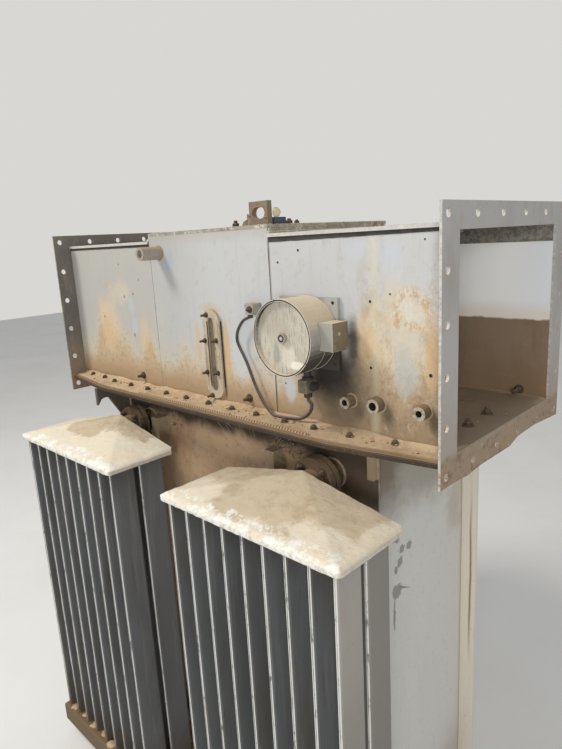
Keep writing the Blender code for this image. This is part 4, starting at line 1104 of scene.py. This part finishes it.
# radiator caps, with rounded corners and caked dust
def cap_mesh(name, node):
    low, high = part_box(node)
    centre = (low + high) / 2
    edge_z = low.z + 0.016
    half = high.x - centre.x
    deep = high.y - low.y
    nx, ny = 120, 48
    bm = bmesh.new()

    def plan(u, v):
        """Place on the cap for a place in the unit square, moved in where the corners are rounded."""
        x, y = (u * 2 - 1) * half, v * deep
        for radius, cy, way in ((0.012, 0.012, -1), (0.0048, deep - 0.0048, 1)):
            cx = math.copysign(half - 0.012, x)
            dx, dy = x - cx, y - cy
            if dx * cx > 0 and dy * way > 0:
                far = max(abs(dx), abs(dy))
                pull = far / math.hypot(dx, dy) * min(1.0, radius / far)
                return cx + dx * pull, cy + dy * pull
        return x, y

    def height(x, y):
        slope = min((half - abs(x)) / half, y / deep)
        edge = min(half - abs(x), y, 0.012) / 0.012
        crust = 0.0016 * uneven(x * 26, y * 26, low.x) + 0.0008 * uneven(x * 90, y * 90, low.x)
        crust += 0.0007 * max(0.0, uneven(x * 190, y * 190, 7 + low.x))
        return edge_z + (high.z - edge_z) * slope - 0.006 * (1 - edge) ** 2 + crust - 0.0014

    top = []
    for i in range(nx + 1):
        spots = [plan(i / nx, j / ny) for j in range(ny + 1)]
        top.append([bm.verts.new((centre.x + x, low.y + y, min(height(x, y), high.z))) for x, y in spots])
    for i in range(nx):
        for j in range(ny):
            bm.faces.new((top[i][j], top[i + 1][j], top[i + 1][j + 1], top[i][j + 1]))
    border = [top[i][0] for i in range(nx + 1)] + [top[nx][j] for j in range(1, ny + 1)]
    border += [top[i][ny] for i in range(nx - 1, -1, -1)] + [top[0][j] for j in range(ny - 1, 0, -1)]
    rings = [border]
    for drop, inset in ((0.3, -0.0004), (0.62, -0.0002), (0.88, 0.001), (1.0, 0.004)):
        ring = []
        for vert in border:
            x, y, z = vert.co
            on_side = abs(abs(x - centre.x) - half) < 0.004
            on_end = min(abs(y - low.y), abs(y - high.y)) < 0.004
            inward = Vector((centre.x - x if on_side else 0, centre.y - y if on_end else 0, 0)).normalized()
            push = max(inset + 0.0008 * uneven(x * 110, y * 110, drop * 9), 0.0)
            z = min(z, edge_z)
            ring.append(bm.verts.new((x + inward.x * push, y + inward.y * push, z + (low.z - z) * drop)))
        rings.append(ring)
    for upper, lower in zip(rings, rings[1:]):
        for i in range(len(border)):
            j = (i + 1) % len(border)
            bm.faces.new((upper[i], lower[i], lower[j], upper[j]))
    bm.faces.new(rings[-1])
    made = piece(name, bm, CAP, 50)
    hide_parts(node)


cap_mesh("cap_left", "radiator_cap_left")
cap_mesh("cap_right", "radiator_cap_right")

# seams down the edges of every tube, plugs of the bottom headers, dust between the tubes' feet
bm = bmesh.new()
plugs = bmesh.new()
feet = bmesh.new()
random.seed(21)
for name in ("radiator_bank_left", "radiator_bank_right"):
    low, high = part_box(name)
    middle = (low.x + high.x) / 2
    pitch = (high.x - low.x - 0.041) / 8
    for column in range(9):
        x = middle + (column - 4) * pitch
        for row_front in (low.y + 0.012, low.y + 0.097):
            for y in (row_front + 0.0003, row_front + 0.0697):
                path = line_points((x, y, 0.115), (x, y, high.z - 0.004), 0.03)
                tube_along(bm, path, 0.001, 6, lambda i: 1.0 + 0.25 * uneven(i * 0.8, x * 9, 0))
    for off in (-0.226, -0.162, 0.165, 0.226):
        where = aim((middle + off, low.y + 0.0006, low.z + 0.038), OUT)
        lathe(plugs, [(0.007, 0.0), (0.013, 0.0), (0.013, -0.004), (0.007, -0.004)], 20, where, True)
    for column in range(8):
        x = middle + (column - 3.5) * pitch
        for row in range(5):
            y = low.y + 0.026 + row * 0.037 + random.uniform(-0.006, 0.006)
            place = (x + random.uniform(-0.004, 0.004), y, low.z + 0.07)
            lump(feet, place, random.uniform(0.012, 0.019), column * 3 + row, 0.42, 3)
piece("tube_seams", bm, TUBES, 60)
piece("header_plugs", plugs, BOLTS, 40)
piece("foot_dust", feet, DECK_DIRT_AND_SHADE, 80)

# dial gauge
gauge_low = gauge_box[0]
bm = bmesh.new()
front = aim((DIAL_AT[0], gauge_low.y, DIAL_AT[1]), OUT)
lathe(bm, [(0.0742, -0.0035), (0.075, 0.0), (0.0772, 0.0), (0.0788, -0.0008), (0.079, -0.0035)], 96,
      front, True)
for depth, size in ((-0.0145, 0.0781), (-0.05, 0.0779), (-0.08, 0.0781)):
    lathe(bm, [(size - 0.0012, depth - 0.0012), (size, depth - 0.0009), (size, depth + 0.0009),
               (size - 0.0012, depth + 0.0012)], 96, front, True)
piece("gauge_rims", bm, GAUGE, 50)

bm = bmesh.new()
for turn in (math.radians(d) for d in (215, 325, 100)):
    spot = front @ Vector((0.0768 * math.cos(turn), 0.0768 * math.sin(turn), 0.0))
    lathe(bm, [(0.0018, 0.0), (0.0018, 0.0004), (0.001, 0.0007)], 10, aim(spot, OUT))
low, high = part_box("gauge_knob")
knob_at = aim(((low.x + high.x) / 2, low.y, (low.z + high.z) / 2), OUT)
lathe(bm, [(0.0058, -0.0004), (0.0074, 0.0002), (0.0074, 0.0005), (0.0056, 0.0005), (0.0046, 0.0001),
           (0.0045, -0.0003)], 28, knob_at, True)
low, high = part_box("gauge_plate")
for x, z in ((high.x - 0.012, high.z - 0.01), (high.x - 0.012, low.z + 0.012),
             (low.x + 0.012, high.z - 0.012), (low.x + 0.012, low.z + 0.012)):
    lathe(bm, [(0.0036, 0.0), (0.0036, 0.0003), (0.003, 0.0006)], 14, aim((x, low.y, z), OUT))
piece("gauge_screws", bm, DARK_HOLE, 50)
bm = bmesh.new()
lathe(bm, [(0.0016, 0.0), (0.0022, 0.0008), (0.001, 0.0014)], 16, knob_at)
piece("knob_centre", bm, PALE_FLAKE, 50)

low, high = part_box("gauge_terminal_box")
block("terminal_lid", (high.x - 0.0065, low.y - 0.0008, low.z - 0.0008),
      (high.x + 0.0008, high.y + 0.0008, high.z + 0.0008), 0.001, TERMINAL)
bm = bmesh.new()
lathe(bm, [(0.004, 0.0), (0.004, 0.001), (0.003, 0.0016)], 14,
      aim((high.x + 0.0006, (low.y + high.y) / 2 - 0.003, (low.z + high.z) / 2 + 0.006), TO_RIGHT))
piece("terminal_screw", bm, GREY_STEEL, 50)

# line fitting, the neck between it and the gauge, and the bracket
low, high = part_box("sensor_fitting")
middle = (low.x + high.x) / 2
line_y = -0.1493
axis_z = high.z - 0.014
block("sensor_block", (middle - 0.0126, WALL_Y - 0.0352, axis_z - 0.0144),
      (middle + 0.0126, WALL_Y - 0.01, axis_z + 0.0144), 0.0022, FITTING)
bm = bmesh.new()
lathe(bm, [(0.0088, 0.0), (0.0092, 0.001), (0.0092, 0.008), (0.0076, 0.0095)], 6,
      aim((middle, line_y, low.z + 0.0005), UP))
lathe(bm, [(0.0115, 0.0), (0.0115, 0.006), (0.0075, 0.0075), (0.0075, gauge_low.z - high.z + 0.006)], 20,
      aim((middle, line_y, high.z - 0.001), UP))
lathe(bm, [(0.01, 0.0), (0.01, 0.006), (0.007, 0.007), (0.007, 0.013)], 20,
      aim((middle + 0.012, line_y, axis_z), TO_RIGHT))
piece("sensor_neck", bm, PACKING, 50)

low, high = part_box("capillary_bracket")
block("bracket_clip", (low.x - 0.0008, low.y - 0.0008, high.z - 0.008),
      (high.x + 0.0008, high.y - 0.0003, high.z + 0.0008), 0.0012, GREY_STEEL)
bm = bmesh.new()
hex_bolt(bm, ((low.x + high.x) / 2 + 0.003, low.y, (low.z + high.z) / 2), OUT, BRACKET_BOLT, 0.2)
lathe(bm, [(0.0058, 0.0), (0.0062, 0.001), (0.0062, 0.008), (0.005, 0.009)], 6,
      aim((low.x + 0.0075, line_y, low.z - 0.0085), UP))
piece("bracket_gland", bm, BOLTS, 40)

# clamp on the roof with what is bolted beside it: a sloped foot, nuts, a wing and a small block
bm = bmesh.new()
low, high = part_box("clamp_lower")
upper_low, upper_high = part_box("clamp_upper")
middle_y = (low.y + high.y) / 2
for x in (upper_low.x + 0.0055, upper_high.x - 0.0055):
    hex_bolt(bm, (x, middle_y, upper_high.z - 0.0082), UP, CLAMP_BOLT, 0.3)
for x, y, kind, spin in ((0.0905, middle_y, (0.0085, 0.006, 0.0115), 0.4),
                         (0.19, -0.024, (0.0085, 0.004, 0.0105), 0.1),
                         (0.19, 0.002, (0.0062, 0.003, 0.0085), 0.7)):
    hex_bolt(bm, (x, y, ROOF_Z), UP, kind, spin)
piece("clamp_bolts", bm, BOLTS)
bm = bmesh.new()
foot = [(-0.018, 0.0), (-0.012, 0.01), (-0.001, 0.014), (-0.001, 0.0)]
sides = [[bm.verts.new((low.x + x, middle_y + off, ROOF_Z + z)) for x, z in foot] for off in (-0.008, 0.008)]
skin(bm, sides)
for x, z in ((high.x - 0.006, high.z - 0.01), (low.x + 0.008, high.z - 0.004)):
    lump(bm, (x, low.y + 0.001, z), 0.004, x * 90, 0.7, 2)
piece("clamp_foot", bm, CLAMP, 40)
block("roof_block", (0.184, -0.076, ROOF_Z + 0.001), (0.196, -0.04, ROOF_Z + 0.0165), 0.0015, BLUE_BLOCK)
bm = bmesh.new()
bmesh.ops.create_uvsphere(bm, u_segments=24, v_segments=14, radius=1.0)
for vert in bm.verts:
    x, y, z = vert.co
    vert.co = (0.19 + x * 0.0045, -0.064 + y * 0.0125 * (1 + 0.15 * z),
               ROOF_Z + 0.0265 + z * 0.0115 * (1 - 0.25 * y))
piece("roof_wing", bm, PALE_WING, 60)


# cobwebs under the ledge and the flakes caught in them
def near_by(place, reach):
    """A place up to reach away along each axis, in front of the tank."""
    near = Vector(place) + Vector([random.uniform(-reach, reach) for _ in range(3)])
    near.y = min(near.y, TANK_FRONT - 0.0015)
    return near


random.seed(33)
bm = bmesh.new()
anchors = (((-0.255, -0.135, 1.09), (0.165, -0.134, 1.05)), ((-0.255, -0.12, 1.06), (-0.05, -0.098, 1.15)),
           ((0.09, -0.1, 1.165), (0.17, -0.135, 1.095)), ((0.205, -0.134, 1.095), (0.33, -0.15, 1.125)),
           ((0.04, -0.12, 1.176), (0.168, -0.134, 1.07)), ((0.1, -0.2, 1.178), (0.17, -0.135, 1.1)),
           ((0.21, -0.13, 1.1), (0.28, -0.2, 1.178)), ((-0.262, -0.134, 1.07), (-0.18, -0.11, 1.17)))
for a, b in anchors:
    for _ in range(3):
        start, end = near_by(a, 0.008), near_by(b, 0.01)
        sag = random.uniform(0.01, 0.03)
        path = []
        for i in range(15):
            t = i / 14
            path.append(start.lerp(end, t) - Vector((0, 0, sag * 4 * t * (1 - t))))
        tube_along(bm, path, random.uniform(0.00018, 0.00038), 4)
piece("cobwebs", bm, WEB)
dark = bmesh.new()
pale = bmesh.new()
for i in range(120):
    x = random.gauss(0.232, 0.04)
    z = 1.118 - (x - 0.152) * 0.1 + random.gauss(0, 0.015)
    if 0.15 < x < 0.33 and z < DECK_LOW.z - 0.016:
        y = TANK_FRONT - random.uniform(0.002, 0.014)
        lump(pale if i % 3 else dark, (x, y, z), random.uniform(0.0008, 0.0021), i * 0.37, 0.8, 1)
for i in range(26):
    x, z = random.gauss(-0.215, 0.012), random.gauss(1.09, 0.012)
    y = TANK_FRONT - random.uniform(0.002, 0.03)
    lump(pale if i % 2 else dark, (x, y, z), random.uniform(0.001, 0.0026), i * 0.7, 0.8, 1)
piece("dark_flakes", dark, UNDER, 60)
piece("pale_flakes", pale, WEB, 60)

# floor, light and camera
floor = bpy.data.meshes.new("floor")
reach = 14.0
floor.from_pydata([(-reach, -reach, 0), (reach, -reach, 0), (reach, reach, 0), (-reach, reach, 0)], [],
                  [(0, 1, 2, 3)])
ground = Shade("floor_pale", (238, 236, 231), 0.9)
ground.coat(ground.grit(1.5, 0, 0.4, 0.7, 0.6, detail=4), (234, 231, 225))
floor.materials.append(ground.done(0))
floor_object = link("floor", floor)

world = bpy.data.worlds.new("studio")
bpy.context.scene.world = world
world.use_nodes = True
wn, wl = world.node_tree.nodes, world.node_tree.links
plain_sky = wn["Background"]
plain_sky.inputs["Color"].default_value = (0.95, 0.97, 1.0, 1.0)
plain_sky.inputs["Strength"].default_value = 0.46
backdrop = wn.new("ShaderNodeBackground")
backdrop.inputs["Color"].default_value = lin(216, 215, 212)
backdrop.inputs["Strength"].default_value = 1.0
rays = wn.new("ShaderNodeLightPath").outputs
seen_by = rays["Is Camera Ray"]
for kind in ("Is Glossy Ray", "Is Transmission Ray"):
    either = wn.new("ShaderNodeMath")
    either.operation = "MAXIMUM"
    wl.new(seen_by, either.inputs[0])
    wl.new(rays[kind], either.inputs[1])
    seen_by = either.outputs[0]
sky = wn.new("ShaderNodeMixShader")
for index, source in enumerate((seen_by, plain_sky.outputs[0], backdrop.outputs[0])):
    wl.new(source, sky.inputs[index])
wl.new(sky.outputs[0], wn["World Output"].inputs["Surface"])


def lamp(name, place, target, power, color):
    """Round soft light that shines on the target."""
    data = bpy.data.lights.new(name, "AREA")
    data.shape = "DISK"
    data.size = 1.2
    data.energy = power
    data.color = color
    made = link(name, data)
    made.location = place
    made.rotation_euler = (Vector(target) - Vector(place)).to_track_quat("-Z", "Y").to_euler()


lamp("key", (-2.2, -2.5, 5.0), (0, -0.1, 0.9), 160, (1.0, 0.985, 0.96))
lamp("fill", (2.4, -2.9, 1.7), (0.5, 0, 1.2), 52, (0.98, 0.99, 1.0))

camera_data = bpy.data.cameras.new("camera")
camera_data.sensor_fit = "VERTICAL"
camera_data.sensor_height = 24.0
camera_data.lens = 588.13 / 749 * 24.0
camera_data.clip_end = 60.0
camera = link("camera", camera_data)
right = Vector((0.72197, 0.68981, -0.05399))
upward = Vector((-0.11687, 0.19847, 0.97311))
ahead = Vector((-0.68198, 0.69625, -0.22391))
turn = Matrix((right, upward, -ahead)).transposed().to_4x4()
camera.matrix_world = Matrix.Translation((1.1436, -1.0523, 1.5891)) @ turn
bpy.context.scene.camera = camera
bpy.context.scene.view_settings.view_transform = "Standard"
